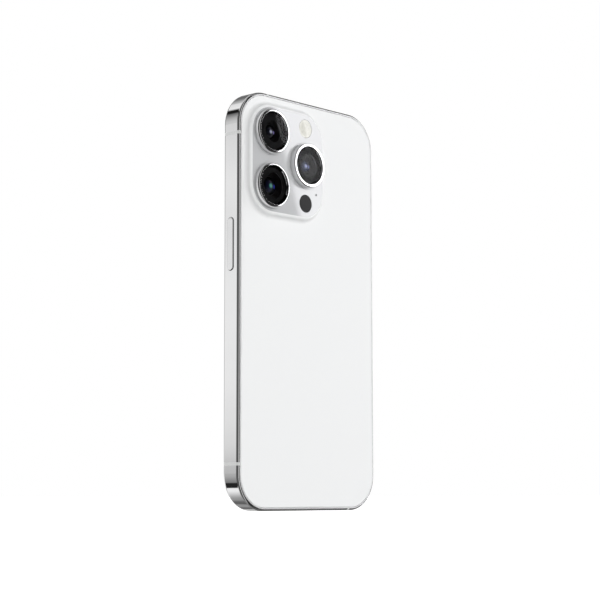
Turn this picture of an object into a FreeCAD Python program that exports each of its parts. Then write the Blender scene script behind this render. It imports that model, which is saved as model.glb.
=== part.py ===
"""A slim glass-and-steel smartphone with three rear cameras, as an assembly of separate pieces.

Frame: +Z runs up the phone, +X is its side-button side, +Y is its back and -Y its display.
The origin is the centre of the bottom of its bounding box. All sizes are millimetres.
A "depth" is a distance from the back glass's outer face towards the display.
"""
import FreeCAD, Part
import math
import os

import Sketcher

OUTPUT_FOLDER = "parts"

# Driving dimensions: alias, value, what it is.
DIMENSIONS = [
    # body shell
    ("body_width", 71.5, "overall width without the buttons"),
    ("body_height", 147.5, "overall height"),
    ("thickness", 7.85, "front glass to back glass"),
    ("corner_radius", 12.8, "radius of the body's four corners"),
    ("edge_round", 1.0, "rounding of the steel band's outer edges"),
    ("band_wall", 2.6, "steel band, outer face to inner cavity"),
    ("rim_width", 1.05, "steel rim seen around each glass"),
    ("rim_drop", 0.1, "how far each glass stands proud of the rim"),
    ("glass_gap", 0.1, "gap between a glass and the rim"),
    ("glass_thickness", 0.8, "front and back glass"),
    ("glass_edge", 0.25, "rounding of the glass's outer edge"),
    ("seal_thickness", 0.1, "adhesive seal under each glass"),
    ("seal_width", 1.0, "width of the adhesive seal"),
    ("fit_gap", 0.05, "clearance between pieces that sit beside each other"),
    ("break_width", 1.1, "width of each plastic antenna break"),
    ("side_break_offset", 16.1, "side antenna breaks, from each end of the body"),
    ("top_break_offset", 21.2, "top antenna break, from the middle"),
    ("bottom_break_offset", 21.2, "bottom antenna break, from the middle"),
    # rear cameras
    ("lens_rise", 4.15, "top of the lens rings above the back glass"),
    ("plateau_rise", 1.95, "camera plateau above the back glass"),
    ("plateau_margin", 2.2, "plateau edge beyond the lens rings"),
    ("plateau_radius", 11.1, "plateau corner radius"),
    ("plateau_round", 0.95, "rounding of the plateau's top edge"),
    ("plateau_blend", 1.1, "blend at the foot of the plateau"),
    ("lens_side_offset", 13.65, "outer lens column, from the side"),
    ("lens_top_offset", 14.3, "upper lens, from the top"),
    ("lens_pitch_z", 19.4, "upper lens to lower lens"),
    ("lens_pitch_x", 18.25, "outer column to inner column"),
    ("ring_radius", 8.0, "outside of a lens ring"),
    ("ring_wall", 1.0, "lip of a lens ring around its cover"),
    ("ring_ledge", 0.7, "ledge that a lens cover rests on"),
    ("ring_round", 0.3, "bevel on the lens ring's outer edge"),
    ("ring_neck_step", 0.7, "how far the ring's neck is set in"),
    ("ring_neck_length", 1.2, "neck of a lens ring below the plateau"),
    ("cover_thickness", 0.9, "lens cover"),
    ("cover_recess", 0.15, "lens cover below the ring's lip"),
    ("barrel_setback", 1.75, "lens barrel's front below the ring's lip"),
    ("barrel_lip", 0.7, "cone and bevel at a lens barrel's front"),
    ("barrel_gap", 0.15, "lens barrel to its housing bore"),
    ("barrel_back_room", 1.0, "room behind a lens barrel in its housing"),
    ("sensor_floor", 1.2, "image sensor and floor of a camera housing"),
    ("housing_corner", 4.0, "corner radius of a camera housing"),
    ("main_housing", 13.6, "main camera housing, side"),
    ("main_barrel", 5.2, "main lens barrel radius"),
    ("main_element", 3.3, "main front lens element radius"),
    ("wide_housing", 13.0, "ultra-wide camera housing, side"),
    ("wide_barrel", 4.4, "ultra-wide lens barrel radius"),
    ("wide_element", 2.6, "ultra-wide front lens element radius"),
    ("tele_housing", 14.0, "telephoto camera housing, side"),
    ("tele_barrel", 4.8, "telephoto lens barrel radius"),
    ("tele_element", 2.9, "telephoto front lens element radius"),
    ("element_curve", 6.5, "curve radius of each front lens element"),
    ("element_depth", 1.6, "thickness of each front lens element"),
    ("element_gap", 0.03, "front lens element to its barrel"),
    ("flash_radius", 3.3, "flash window"),
    ("depth_radius", 3.2, "depth sensor window"),
    ("sensor_pitch", 27.5, "flash window to depth sensor window"),
    ("window_gap", 0.05, "window to its hole in the plateau"),
    ("mic_radius", 0.35, "rear microphone hole"),
    ("mic_side", 5.6, "rear microphone, from the inner lens column"),
    ("mic_below", 9.9, "rear microphone, below the inner lens"),
    ("flash_board_side", 6.8, "flash circuit board, side"),
    ("flash_board_depth", 1.2, "flash circuit board and its light emitters"),
    ("depth_module_side", 6.8, "depth sensor module, side"),
    ("depth_module_depth", 4.0, "depth sensor module, front to back"),
    ("mic_width", 3.0, "rear microphone, across the phone"),
    ("mic_height", 2.6, "rear microphone, along the phone"),
    ("mic_depth", 1.0, "rear microphone, front to back"),
    ("small_corner", 0.8, "corner radius of the small inner modules"),
    # buttons and switches
    ("button_offset", 0.25, "button row, from mid-thickness towards the display"),
    ("button_width", 2.9, "button, across the band"),
    ("button_proud", 0.35, "button above the band"),
    ("button_travel", 0.25, "button travel"),
    ("button_gap", 0.12, "button to its opening, all round"),
    ("button_cap", 1.1, "button cap's depth below the band's face"),
    ("button_edge", 0.18, "rounding of a button's edge"),
    ("button_stem", 1.6, "button stem, across the band"),
    ("button_shorter", 2.4, "how much shorter the stem is than its cap"),
    ("button_ear", 1.2, "retaining ear beyond each end of the stem"),
    ("ear_thickness", 0.5, "retaining ear"),
    ("side_button_length", 18.7, "side button"),
    ("side_button_height", 92.2, "side button's middle, from the bottom"),
    ("volume_length", 10.2, "each volume button"),
    ("volume_up_height", 103.1, "volume-up button's middle"),
    ("volume_down_height", 88.9, "volume-down button's middle"),
    ("switch_length", 3.6, "tactile switch behind a button"),
    ("switch_depth", 1.4, "tactile switch, outwards from its bracket"),
    ("switch_bracket", 0.3, "sheet-metal bracket behind a tactile switch"),
    ("mute_height", 116.3, "ring switch's middle, from the bottom"),
    ("mute_end_room", 0.9, "ring switch opening beyond the slider's ends, both together"),
    ("mute_pocket", 1.2, "ring switch pocket's depth"),
    ("mute_length", 5.7, "ring switch slider, along the phone"),
    ("mute_width", 1.9, "ring switch slider, across the band"),
    ("mute_travel", 1.1, "ring switch slider's travel"),
    ("mute_stem_length", 2.4, "ring switch stem, along the phone"),
    ("mute_stem_width", 0.8, "ring switch stem, across the band"),
    ("mute_case_length", 7.0, "ring switch case, along the phone"),
    ("mute_case_back", 0.5, "back wall of the ring switch case"),
    # card tray
    ("tray_above_board", 18.0, "card tray's middle, above the logic board's lower end"),
    ("tray_cap_length", 15.2, "card tray's outer cap, along the phone"),
    ("tray_cap_width", 1.9, "card tray's outer cap, across the band"),
    ("tray_cap_depth", 1.5, "card tray's outer cap, into the band"),
    ("tray_length", 13.2, "card tray, along the phone"),
    ("tray_thickness", 1.0, "card tray"),
    ("tray_reach", 16.5, "card tray, into the phone from its cap"),
    ("card_length", 12.3, "card, into the phone"),
    ("card_width", 8.8, "card, along the phone"),
    ("card_border", 1.0, "tray frame beyond the card"),
    ("plate_corner", 0.2, "corner radius of the tray's and slider's inner plates"),
    ("card_thickness", 0.7, "card"),
    ("tray_gap", 0.1, "card tray to what it slides in"),
    ("eject_hole", 0.4, "radius of the tray's eject pin hole"),
    ("eject_offset", 5.9, "eject pin hole, from the tray's middle"),
    ("reader_wall", 0.3, "sheet-metal card reader cage"),
    # bottom edge
    ("port_width", 7.8, "charging port opening"),
    ("port_opening", 2.7, "charging port opening, across the band"),
    ("port_depth", 6.8, "charging port's inner length behind the band"),
    ("port_wall", 0.5, "charging port shell"),
    ("contact_width", 0.4, "charging contact"),
    ("contact_pitch", 0.66, "charging contact to the next"),
    ("contact_length", 4.0, "charging contact"),
    ("contact_thickness", 0.15, "charging contact"),
    ("screw_offset", 8.4, "bottom screw, from the middle"),
    ("screw_radius", 0.85, "bottom screw's head"),
    ("screw_head", 0.7, "height of a bottom screw's head"),
    ("screw_shank", 0.5, "radius of a bottom screw's shank"),
    ("screw_length", 1.8, "bottom screw's shank"),
    ("screw_gap", 0.05, "bottom screw to its hole"),
    ("screw_sunk", 0.08, "bottom screw's head below the band's face"),
    ("socket_depth", 0.5, "five-lobed socket in a bottom screw"),
    ("socket_core", 0.24, "radius of the socket's middle"),
    ("socket_lobe", 0.17, "radius of each of the socket's lobes"),
    ("socket_spread", 0.29, "each lobe from the screw's axis"),
    ("vent_radius", 0.62, "sound hole in the bottom edge"),
    ("vent_first", 11.4, "first sound hole, from the middle"),
    ("vent_pitch", 1.75, "sound hole to the next"),
    ("mesh_thickness", 0.2, "acoustic mesh"),
    ("mesh_width", 2.0, "acoustic mesh, across the band"),
    # display
    ("panel_thickness", 1.0, "display panel"),
    ("panel_inset", 0.3, "display panel's edge inside the cavity"),
    ("pill_length", 20.8, "sensor cut-out in the display"),
    ("pill_height", 6.1, "sensor cut-out, along the phone"),
    ("pill_below", 8.2, "sensor cut-out's middle, from the top of the body"),
    ("earpiece_length", 12.6, "earpiece slot in the top of the front glass"),
    ("earpiece_slot", 0.45, "depth of the earpiece slot"),
    # inner pieces
    ("plate_thickness", 0.5, "aluminium plate behind the back glass"),
    ("coil_window", 28.4, "radius of the plate's window for the charging coil"),
    ("coil_outer", 20.8, "charging coil, outer radius"),
    ("coil_inner", 10.4, "charging coil, inner radius"),
    ("coil_thickness", 0.4, "charging coil and magnets"),
    ("magnet_inner", 23.0, "magnet ring, inner radius"),
    ("magnet_outer", 27.0, "magnet ring, outer radius"),
    ("shield_thickness", 0.15, "ferrite sheet behind the coil"),
    ("bay_depth", 1.7, "depth at which the inner bay starts"),
    ("swell_room", 0.75, "room in front of the battery, for it to swell"),
    ("battery_corner", 2.0, "battery's corner radius"),
    ("front_room", 0.55, "room between the display panel and the larger inner pieces"),
    ("board_width", 23.7, "logic board"),
    ("board_bottom", 48.0, "logic board's lower end"),
    ("board_top_gap", 13.6, "logic board's upper end, from the top"),
    ("board_thickness", 0.6, "each half of the logic board"),
    ("spacer_thickness", 0.28, "frame between the halves of the logic board"),
    ("spacer_wall", 1.2, "width of that frame"),
    ("spacer_inset", 0.2, "frame inside the boards' edges"),
    ("board_side_gap", 0.25, "logic board to the cavity's wall"),
    ("board_corner", 1.2, "logic board's corner radius"),
    ("bottom_bay", 26.0, "height of the bay below the battery"),
    ("bay_gap", 0.8, "gap between the larger inner pieces"),
    ("haptic_height", 11.0, "haptic motor case, along the phone"),
    ("haptic_middle", 36.0, "haptic motor's middle, from the bottom"),
    ("haptic_wall", 0.4, "haptic motor case's wall"),
    ("haptic_corner", 1.4, "haptic motor case's corner radius"),
    ("haptic_gap", 0.3, "haptic mass to its case beyond its travel"),
    ("haptic_travel", 0.5, "haptic mass's travel each way"),
    ("speaker_height", 17.0, "loudspeaker, along the phone"),
    ("speaker_lift", 2.4, "loudspeaker above the band, for its sound duct"),
    ("speaker_side_gap", 2.75, "loudspeaker to the cavity's side"),
    ("speaker_corner", 6.0, "loudspeaker's corner radius"),
    ("dock_board_width", 27.0, "dock board"),
    ("dock_board_height", 9.0, "dock board, along the phone"),
    ("dock_board_side", 6.0, "dock board's right end, from the middle"),
    ("dock_board_sunk", 1.0, "dock board, from the start of the inner bay"),
    ("bracket_height", 28.0, "camera bracket, along the phone"),
    ("bracket_thickness", 0.3, "camera bracket"),
    ("bracket_inset", 1.0, "camera bracket inside the plateau's outline"),
    ("bracket_corner", 2.0, "camera bracket's corner radius"),
    ("front_camera_radius", 2.3, "front camera"),
    ("front_camera_depth", 3.4, "front camera, front to back"),
    ("front_camera_side", 6.2, "front camera, from the middle"),
    ("face_sensor_width", 9.0, "face sensor module"),
    ("face_sensor_height", 4.6, "face sensor module, along the phone"),
    ("face_sensor_depth", 2.4, "face sensor module, front to back"),
    ("face_sensor_side", 4.6, "face sensor module, from the middle"),
    ("earpiece_height", 1.4, "earpiece speaker, along the phone"),
    ("earpiece_depth", 3.2, "earpiece speaker, front to back"),
]

FULL_TURN = 360
SIDE_VENTS = {1: 7, -1: 5}  # sound holes on the +X and on the -X side of the port
MAGNETS = 18
MAGNET_ANGLE = 18.5  # degrees of the ring that each magnet fills
CONTACTS = 8
LOBES = 5
OVERRUN = 1  # how far a cutter runs past what it cuts

# Places that several pieces share, as expressions of the driving dimensions.
BACK_Y = "(dims.thickness - dims.lens_rise) / 2"
MIDDLE_Z = "dims.body_height / 2"
HALF_WIDTH = "dims.body_width / 2"
CAVITY_HALF = "(dims.body_width / 2 - dims.band_wall)"
GLASS_INSET = "(dims.rim_width + dims.glass_gap)"
BACK_SEAT = "(dims.glass_thickness + dims.seal_thickness)"
LENS_X = "(dims.body_width / 2 - dims.lens_side_offset)"
LENS_Z = "(dims.body_height - dims.lens_top_offset)"
INNER_LENS_X = f"({LENS_X} - dims.lens_pitch_x)"
INNER_LENS_Z = f"({LENS_Z} - dims.lens_pitch_z / 2)"
PLATEAU_WIDTH = "(dims.lens_pitch_x + 2 * (dims.ring_radius + dims.plateau_margin))"
PLATEAU_HEIGHT = "(dims.lens_pitch_z + 2 * (dims.ring_radius + dims.plateau_margin))"
PLATEAU_X = f"({LENS_X} - dims.lens_pitch_x / 2)"
PLATEAU_Z = INNER_LENS_Z
PLATEAU_BOTTOM = f"({PLATEAU_Z} - {PLATEAU_HEIGHT} / 2)"
BUTTON_DEPTH = "(dims.thickness / 2 + dims.button_offset)"
DISPLAY_DEPTH = "(dims.thickness - dims.glass_thickness - dims.panel_thickness)"
NECK_RADIUS = "(dims.ring_radius - dims.ring_neck_step)"
COVER_RADIUS = "(dims.ring_radius - dims.ring_wall)"
BAND_DEPTH = "(dims.thickness - 2 * dims.rim_drop)"
THROUGH_Y = f"({BACK_Y} - dims.thickness - {OVERRUN})"
THROUGH_DEPTH = f"(dims.thickness + 2 * {OVERRUN})"
RING_LIP = "(-dims.lens_rise)"
HOUSING_FRONT = "(dims.ring_neck_length - dims.plateau_rise + dims.fit_gap)"
HOUSING_BACK = f"({DISPLAY_DEPTH} - dims.front_room - dims.bracket_thickness - dims.fit_gap)"
BARREL_FRONT = f"({RING_LIP} + dims.barrel_setback)"
BARREL_LENGTH = f"({HOUSING_BACK} - dims.sensor_floor - dims.barrel_back_room - {BARREL_FRONT})"
BAY_DEPTH = f"({DISPLAY_DEPTH} - dims.front_room - dims.bay_depth)"
SWITCH_GAP = "(dims.button_gap + dims.ear_thickness + dims.button_travel + dims.fit_gap)"
BUTTON_ROOM = f"({SWITCH_GAP} + dims.switch_depth + dims.switch_bracket)"
BOARD_LEFT = f"(-{CAVITY_HALF} + dims.board_side_gap)"
BOARD_RIGHT = f"({BOARD_LEFT} + dims.board_width)"
TRAY_Z = "(dims.board_bottom + dims.tray_above_board)"
TRAY_SLOT_DEPTH = "(dims.tray_thickness + 2 * dims.tray_gap)"
TRAY_SLOT_LENGTH = "(dims.tray_length + 2 * dims.tray_gap)"
MUTE_Z = "dims.mute_height"
MUTE_STEM_ROOM = "(dims.mute_stem_width + dims.mute_travel + 2 * dims.button_gap)"
MUTE_STEM_SLOT = "(dims.mute_stem_length + 2 * dims.button_gap)"

doc = FreeCAD.newDocument("smartphone")
sheet = doc.addObject("Spreadsheet::Sheet", "dims")
nodes = []


# ---------------------------------------------------------------- small tools

def fill_sheet():
    """Writes every driving dimension into the spreadsheet as a plain number with an alias."""
    for row, (alias, value, meaning) in enumerate(DIMENSIONS, start=1):
        sheet.set(f"A{row}", meaning)
        sheet.set(f"B{row}", str(value))
        sheet.setAlias(f"B{row}", alias)
    doc.recompute()


def number(expression):
    """The present value of an expression of the driving dimensions."""
    found = sheet.evalExpression(str(expression))
    return float(getattr(found, "Value", found))


def depth_y(depth):
    """Y of a plane at this depth below the back glass's outer face."""
    return f"({BACK_Y} - ({depth}))"


BUTTON_Y = depth_y(BUTTON_DEPTH)
MID_Y = depth_y("dims.thickness / 2")


def bind(target, **expressions):
    """Binds properties of an object to expressions; a double underscore stands for a dot."""
    for name, expression in expressions.items():
        target.setExpression(name.replace("__", "."), str(expression))


def place(target, x="0", y="0", z="0"):
    """Puts an object at a point that follows the driving dimensions."""
    target.setExpression("Placement.Base.x", x)
    target.setExpression("Placement.Base.y", y)
    target.setExpression("Placement.Base.z", z)
    return target


def node(target, label):
    """Names a finished piece and lists it for export."""
    target.Label = label
    nodes.append(target)
    return target


def new_body(name):
    return doc.addObject("PartDesign::Body", name)


def new_sketch(body, plane, offset="0"):
    """A sketch on one of the body's own origin planes, moved along the plane's normal."""
    sketch = body.newObject("Sketcher::SketchObject", body.Name + "_sketch")
    found = [f for f in body.Origin.OriginFeatures if f.Role == plane][0]
    sketch.AttachmentSupport = [(found, "")]
    sketch.MapMode = "FlatFace"
    sketch.setExpression("AttachmentOffset.Base.z", offset)
    return sketch


def constrain(sketch, kind, *where, size):
    """Adds a dimension and binds it to an expression."""
    index = sketch.addConstraint(Sketcher.Constraint(kind, *where, number(size)))
    sketch.setExpression(f"Constraints[{index}]", size)


def add_lines(sketch, points):
    """Closed straight outline; each corner is an (x, y) pair of expressions."""
    values = [FreeCAD.Vector(number(x), number(y), 0) for x, y in points]
    first = len(sketch.Geometry)
    for here, there in zip(values, values[1:] + values[:1]):
        sketch.addGeometry(Part.LineSegment(here, there))
    for i, (x, y) in enumerate(points):
        before = first + (i - 1) % len(points)
        sketch.addConstraint(Sketcher.Constraint("Coincident", before, 2, first + i, 1))
        constrain(sketch, "DistanceX", -1, 1, first + i, 1, size=x)
        constrain(sketch, "DistanceY", -1, 1, first + i, 1, size=y)


def add_round_rectangle(sketch, width, height, radius, x="0", y="0"):
    """Rectangle with equal round corners about the point (x, y)."""
    w, h, r = number(width) / 2, number(height) / 2, number(radius)
    cx, cy = number(x), number(y)
    first = len(sketch.Geometry)
    ends = [((r - w, -h), (w - r, -h)), ((w, r - h), (w, h - r)),
            ((w - r, h), (r - w, h)), ((-w, h - r), (-w, r - h))]
    for here, there in ends:
        sketch.addGeometry(Part.LineSegment(FreeCAD.Vector(cx + here[0], cy + here[1], 0),
                                            FreeCAD.Vector(cx + there[0], cy + there[1], 0)))
    centres = [(w - r, r - h, -90), (w - r, h - r, 0), (r - w, h - r, 90), (r - w, r - h, 180)]
    for px, py, start in centres:
        round_corner = Part.Circle(FreeCAD.Vector(cx + px, cy + py, 0), FreeCAD.Vector(0, 0, 1), r)
        sketch.addGeometry(Part.ArcOfCircle(round_corner, math.radians(start), math.radians(start + 90)))
    for side in range(4):
        line, arc, following = first + side, first + 4 + side, first + (side + 1) % 4
        sketch.addConstraint(Sketcher.Constraint("Tangent", line, 2, arc, 1))
        sketch.addConstraint(Sketcher.Constraint("Tangent", arc, 2, following, 1))
        sketch.addConstraint(Sketcher.Constraint("Vertical" if side % 2 else "Horizontal", line))
    for arc in (5, 6, 7):
        sketch.addConstraint(Sketcher.Constraint("Equal", first + 4, first + arc))
    constrain(sketch, "Radius", first + 4, size=radius)
    constrain(sketch, "DistanceY", -1, 1, first, 1, size=f"{y} - {height} / 2")
    constrain(sketch, "DistanceX", -1, 1, first + 1, 1, size=f"{x} + {width} / 2")
    constrain(sketch, "DistanceY", -1, 1, first + 2, 1, size=f"{y} + {height} / 2")
    constrain(sketch, "DistanceX", -1, 1, first + 3, 1, size=f"{x} - {width} / 2")


def add_circle(sketch, radius, x="0", y="0"):
    """Circle about the point (x, y)."""
    centre = FreeCAD.Vector(number(x), number(y), 0)
    index = sketch.addGeometry(Part.Circle(centre, FreeCAD.Vector(0, 0, 1), number(radius)))
    constrain(sketch, "Radius", index, size=radius)
    constrain(sketch, "DistanceX", -1, 1, index, 3, size=x)
    constrain(sketch, "DistanceY", -1, 1, index, 3, size=y)


def add_slot(sketch, length, width, upright, x="0", y="0"):
    """Slot with half-round ends about the point (x, y), lying along the sketch's Y if upright."""
    r, run = number(width) / 2, (number(length) - number(width)) / 2
    cx, cy = number(x), number(y)
    first = len(sketch.Geometry)
    turn = 0 if upright else -90
    for sign in (1, -1):
        at = (cx, cy + sign * run) if upright else (cx + sign * run, cy)
        start = turn if sign > 0 else turn + 180
        end_round = Part.Circle(FreeCAD.Vector(*at, 0), FreeCAD.Vector(0, 0, 1), r)
        sketch.addGeometry(Part.ArcOfCircle(end_round, math.radians(start), math.radians(start + 180)))
    arcs = [sketch.Geometry[first], sketch.Geometry[first + 1]]
    sketch.addGeometry(Part.LineSegment(arcs[0].EndPoint, arcs[1].StartPoint))
    sketch.addGeometry(Part.LineSegment(arcs[1].EndPoint, arcs[0].StartPoint))
    for line, here, there in ((first + 2, first, first + 1), (first + 3, first + 1, first)):
        sketch.addConstraint(Sketcher.Constraint("Tangent", here, 2, line, 1))
        sketch.addConstraint(Sketcher.Constraint("Tangent", line, 2, there, 1))
    sketch.addConstraint(Sketcher.Constraint("Equal", first, first + 1))
    constrain(sketch, "Radius", first, size=f"{width} / 2")
    half_run = f"({length} - {width}) / 2"
    along, across = ("DistanceY", "DistanceX") if upright else ("DistanceX", "DistanceY")
    middle_along, middle_across = (y, x) if upright else (x, y)
    for arc, sign in ((first, "+"), (first + 1, "-")):
        constrain(sketch, along, -1, 1, arc, 3, size=f"{middle_along} {sign} {half_run}")
        constrain(sketch, across, -1, 1, arc, 3, size=middle_across)


def pad(body, sketch, length, backwards=False):
    """Adds material from a sketch along its normal, or against it."""
    feature = body.newObject("PartDesign::Pad", body.Name + "_pad")
    feature.Profile = sketch
    feature.Reversed = backwards
    feature.setExpression("Length", length)
    return feature


def pocket(body, sketch, length=None, forwards=False):
    """Cuts a sketch out against its normal, or along it; through everything when no length is given."""
    doc.recompute()
    before = body.Shape.Volume
    feature = body.newObject("PartDesign::Pocket", body.Name + "_pocket")
    feature.Profile = sketch
    feature.Reversed = forwards
    if length is None:
        feature.Type = "ThroughAll"
        feature.Midplane = True
    else:
        feature.setExpression("Length", length)
    doc.recompute()
    if not body.Shape.Volume < before:
        raise RuntimeError(f"{feature.Name} cuts nothing")
    return feature


def revolve(body, sketch, angle=FULL_TURN):
    """Turns a sketch about its own vertical axis."""
    feature = body.newObject("PartDesign::Revolution", body.Name + "_turned")
    feature.Profile = sketch
    feature.ReferenceAxis = (sketch, ["V_Axis"])
    feature.Angle = angle
    return feature


def fillet(body, base, radius, chosen, kind="Fillet"):
    """Rounds or bevels the edges of the last feature for which chosen(edge) is true."""
    doc.recompute()
    names = [f"Edge{i + 1}" for i, edge in enumerate(base.Shape.Edges) if chosen(edge)]
    if not names:
        raise RuntimeError(f"{body.Name}: no edge to round")
    feature = body.newObject(f"PartDesign::{kind}", body.Name + "_rounded")
    feature.Base = (base, names)
    feature.setExpression("Radius" if kind == "Fillet" else "Size", radius)
    body.Tip = feature
    return feature


def lies_at_y(y, tolerance=1e-4):
    """Test for an edge that lies wholly in the plane at this local Y."""
    return lambda edge: (abs(edge.BoundBox.YMin - y) < tolerance
                         and abs(edge.BoundBox.YMax - y) < tolerance)


def lies_at_x(x, tolerance=1e-4):
    """Test for an edge that lies wholly in the plane at this local X."""
    return lambda edge: (abs(edge.BoundBox.XMin - x) < tolerance
                         and abs(edge.BoundBox.XMax - x) < tolerance)


def slab(name, width, height, radius, depth, thickness, x="0", z=MIDDLE_Z, holes=()):
    """Plate parallel to the back glass: a round-cornered rectangle from one depth towards the display.
    Each hole is a function that draws into the sketch about the plate's middle."""
    body = new_body(name)
    sketch = new_sketch(body, "XZ_Plane")
    add_round_rectangle(sketch, width, height, radius)
    for hole in holes:
        hole(sketch)
    pad(body, sketch, thickness)
    return place(body, x, depth_y(depth), z)


def disc(name, radius, depth, thickness, x, z):
    """Round plate parallel to the back glass."""
    body = new_body(name)
    sketch = new_sketch(body, "XZ_Plane")
    add_circle(sketch, radius)
    pad(body, sketch, thickness)
    return place(body, x, depth_y(depth), z)


def side_slot(name, side, length, width, out, depth, z):
    """Half-round-ended bar through a side wall: from out beyond the band's face to depth behind it.
    side is 1 for the +X side and -1 for the -X side."""
    body = new_body(name)
    sketch = new_sketch(body, "YZ_Plane")
    add_slot(sketch, length, width, upright=True)
    pad(body, sketch, f"{out} + {depth}", backwards=side > 0)
    return place(body, f"{side} * ({HALF_WIDTH} + {out})", BUTTON_Y, z)


def box(name, x, y, z, length, width, height):
    """Plain block with its lowest corner at (x, y, z)."""
    block = doc.addObject("Part::Box", name)
    bind(block, Length=length, Width=width, Height=height)
    return place(block, x, y, z)


def fuse(name, pieces):
    joined = doc.addObject("Part::MultiFuse", name)
    joined.Shapes = pieces
    return joined


def cut(name, base, tool):
    made = doc.addObject("Part::Cut", name)
    made.Base = base
    made.Tool = tool
    return made


def common(name, base, tool):
    made = doc.addObject("Part::Common", name)
    made.Base = base
    made.Tool = tool
    return made


# ---------------------------------------------------------------- steel band

def make_band():
    """Steel band in six segments, parted by plastic antenna breaks, with all its openings."""
    blank = new_body("band_blank")
    outline = new_sketch(blank, "XZ_Plane")
    add_round_rectangle(outline, "dims.body_width", "dims.body_height", "dims.corner_radius")
    ring = pad(blank, outline, BAND_DEPTH)
    ring = fillet(blank, ring, "dims.edge_round", lambda edge: (
        lies_at_y(0)(edge) or lies_at_y(-number(BAND_DEPTH))(edge)))
    cavity = new_sketch(blank, "XZ_Plane")
    add_inset_outline(cavity, "dims.band_wall")
    pocket(blank, cavity)
    seat_depth = f"({BACK_SEAT} - dims.rim_drop)"
    back_seat = new_sketch(blank, "XZ_Plane")
    add_inset_outline(back_seat, "dims.rim_width")
    pocket(blank, back_seat, seat_depth, forwards=True)
    front_seat = new_sketch(blank, "XZ_Plane", f"{BAND_DEPTH} - {seat_depth}")
    add_inset_outline(front_seat, "dims.rim_width")
    pocket(blank, front_seat, seat_depth, forwards=True)
    place(blank, "0", depth_y("dims.rim_drop"), MIDDLE_Z)

    opened = cut("band_opened", blank, fuse("band_openings", band_openings()))
    breaks = fuse("break_blocks", break_blocks())
    node(common("antenna_break_pieces", opened, breaks), "antenna_breaks")
    parted = cut("band_parted", opened, breaks)
    for label, region in segment_regions().items():
        node(common(label + "_piece", parted, region), label)


def add_inset_outline(sketch, inset):
    """The body's outline, moved in by inset all round."""
    add_round_rectangle(sketch, f"(dims.body_width - 2 * {inset})", f"(dims.body_height - 2 * {inset})",
                        f"(dims.corner_radius - {inset})")


def break_blocks():
    """Blocks across the band where its six plastic breaks are."""
    thick, high = "dims.break_width", "dims.body_height"
    y, deep = THROUGH_Y, THROUGH_DEPTH
    reach = f"(dims.band_wall + {OVERRUN})"
    blocks = []
    for side in (1, -1):
        x = f"{side} * {HALF_WIDTH} - {reach}"
        for end, z in (("low", "dims.side_break_offset"), ("high", f"{high} - dims.side_break_offset")):
            blocks.append(box(f"break_{end}_{side % 3}", x, y, f"{z} - {thick} / 2", f"2 * {reach}",
                              deep, thick))
    blocks.append(box("break_top", f"dims.top_break_offset - {thick} / 2", y, f"{high} - {reach}",
                      thick, deep, f"2 * {reach}"))
    blocks.append(box("break_bottom", f"-dims.bottom_break_offset - {thick} / 2", y, f"-{reach}",
                      thick, deep, f"2 * {reach}"))
    return blocks


def segment_regions():
    """The space that each steel segment fills, so that the parted ring can be shared out."""
    y, deep = THROUGH_Y, THROUGH_DEPTH
    low, high = "dims.side_break_offset", "dims.body_height - dims.side_break_offset"
    half = f"({HALF_WIDTH} + {OVERRUN})"
    middle = "dims.body_height - 2 * dims.side_break_offset"
    top, bottom = "dims.top_break_offset", "-dims.bottom_break_offset"
    end_height = f"({low} + {OVERRUN})"
    return {
        "band_right": box("region_right", "0", y, low, half, deep, middle),
        "band_left": box("region_left", f"-{half}", y, low, half, deep, middle),
        "band_top_right": box("region_top_right", top, y, high, f"{half} - {top}", deep, end_height),
        "band_top_left": box("region_top_left", f"-{half}", y, high, f"{half} + {top}", deep, end_height),
        "band_bottom_right": box("region_bottom_right", bottom, y, f"-{OVERRUN}",
                                 f"{half} - ({bottom})", deep, end_height),
        "band_bottom_left": box("region_bottom_left", f"-{half}", y, f"-{OVERRUN}",
                                f"{half} + ({bottom})", deep, end_height),
    }


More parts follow.
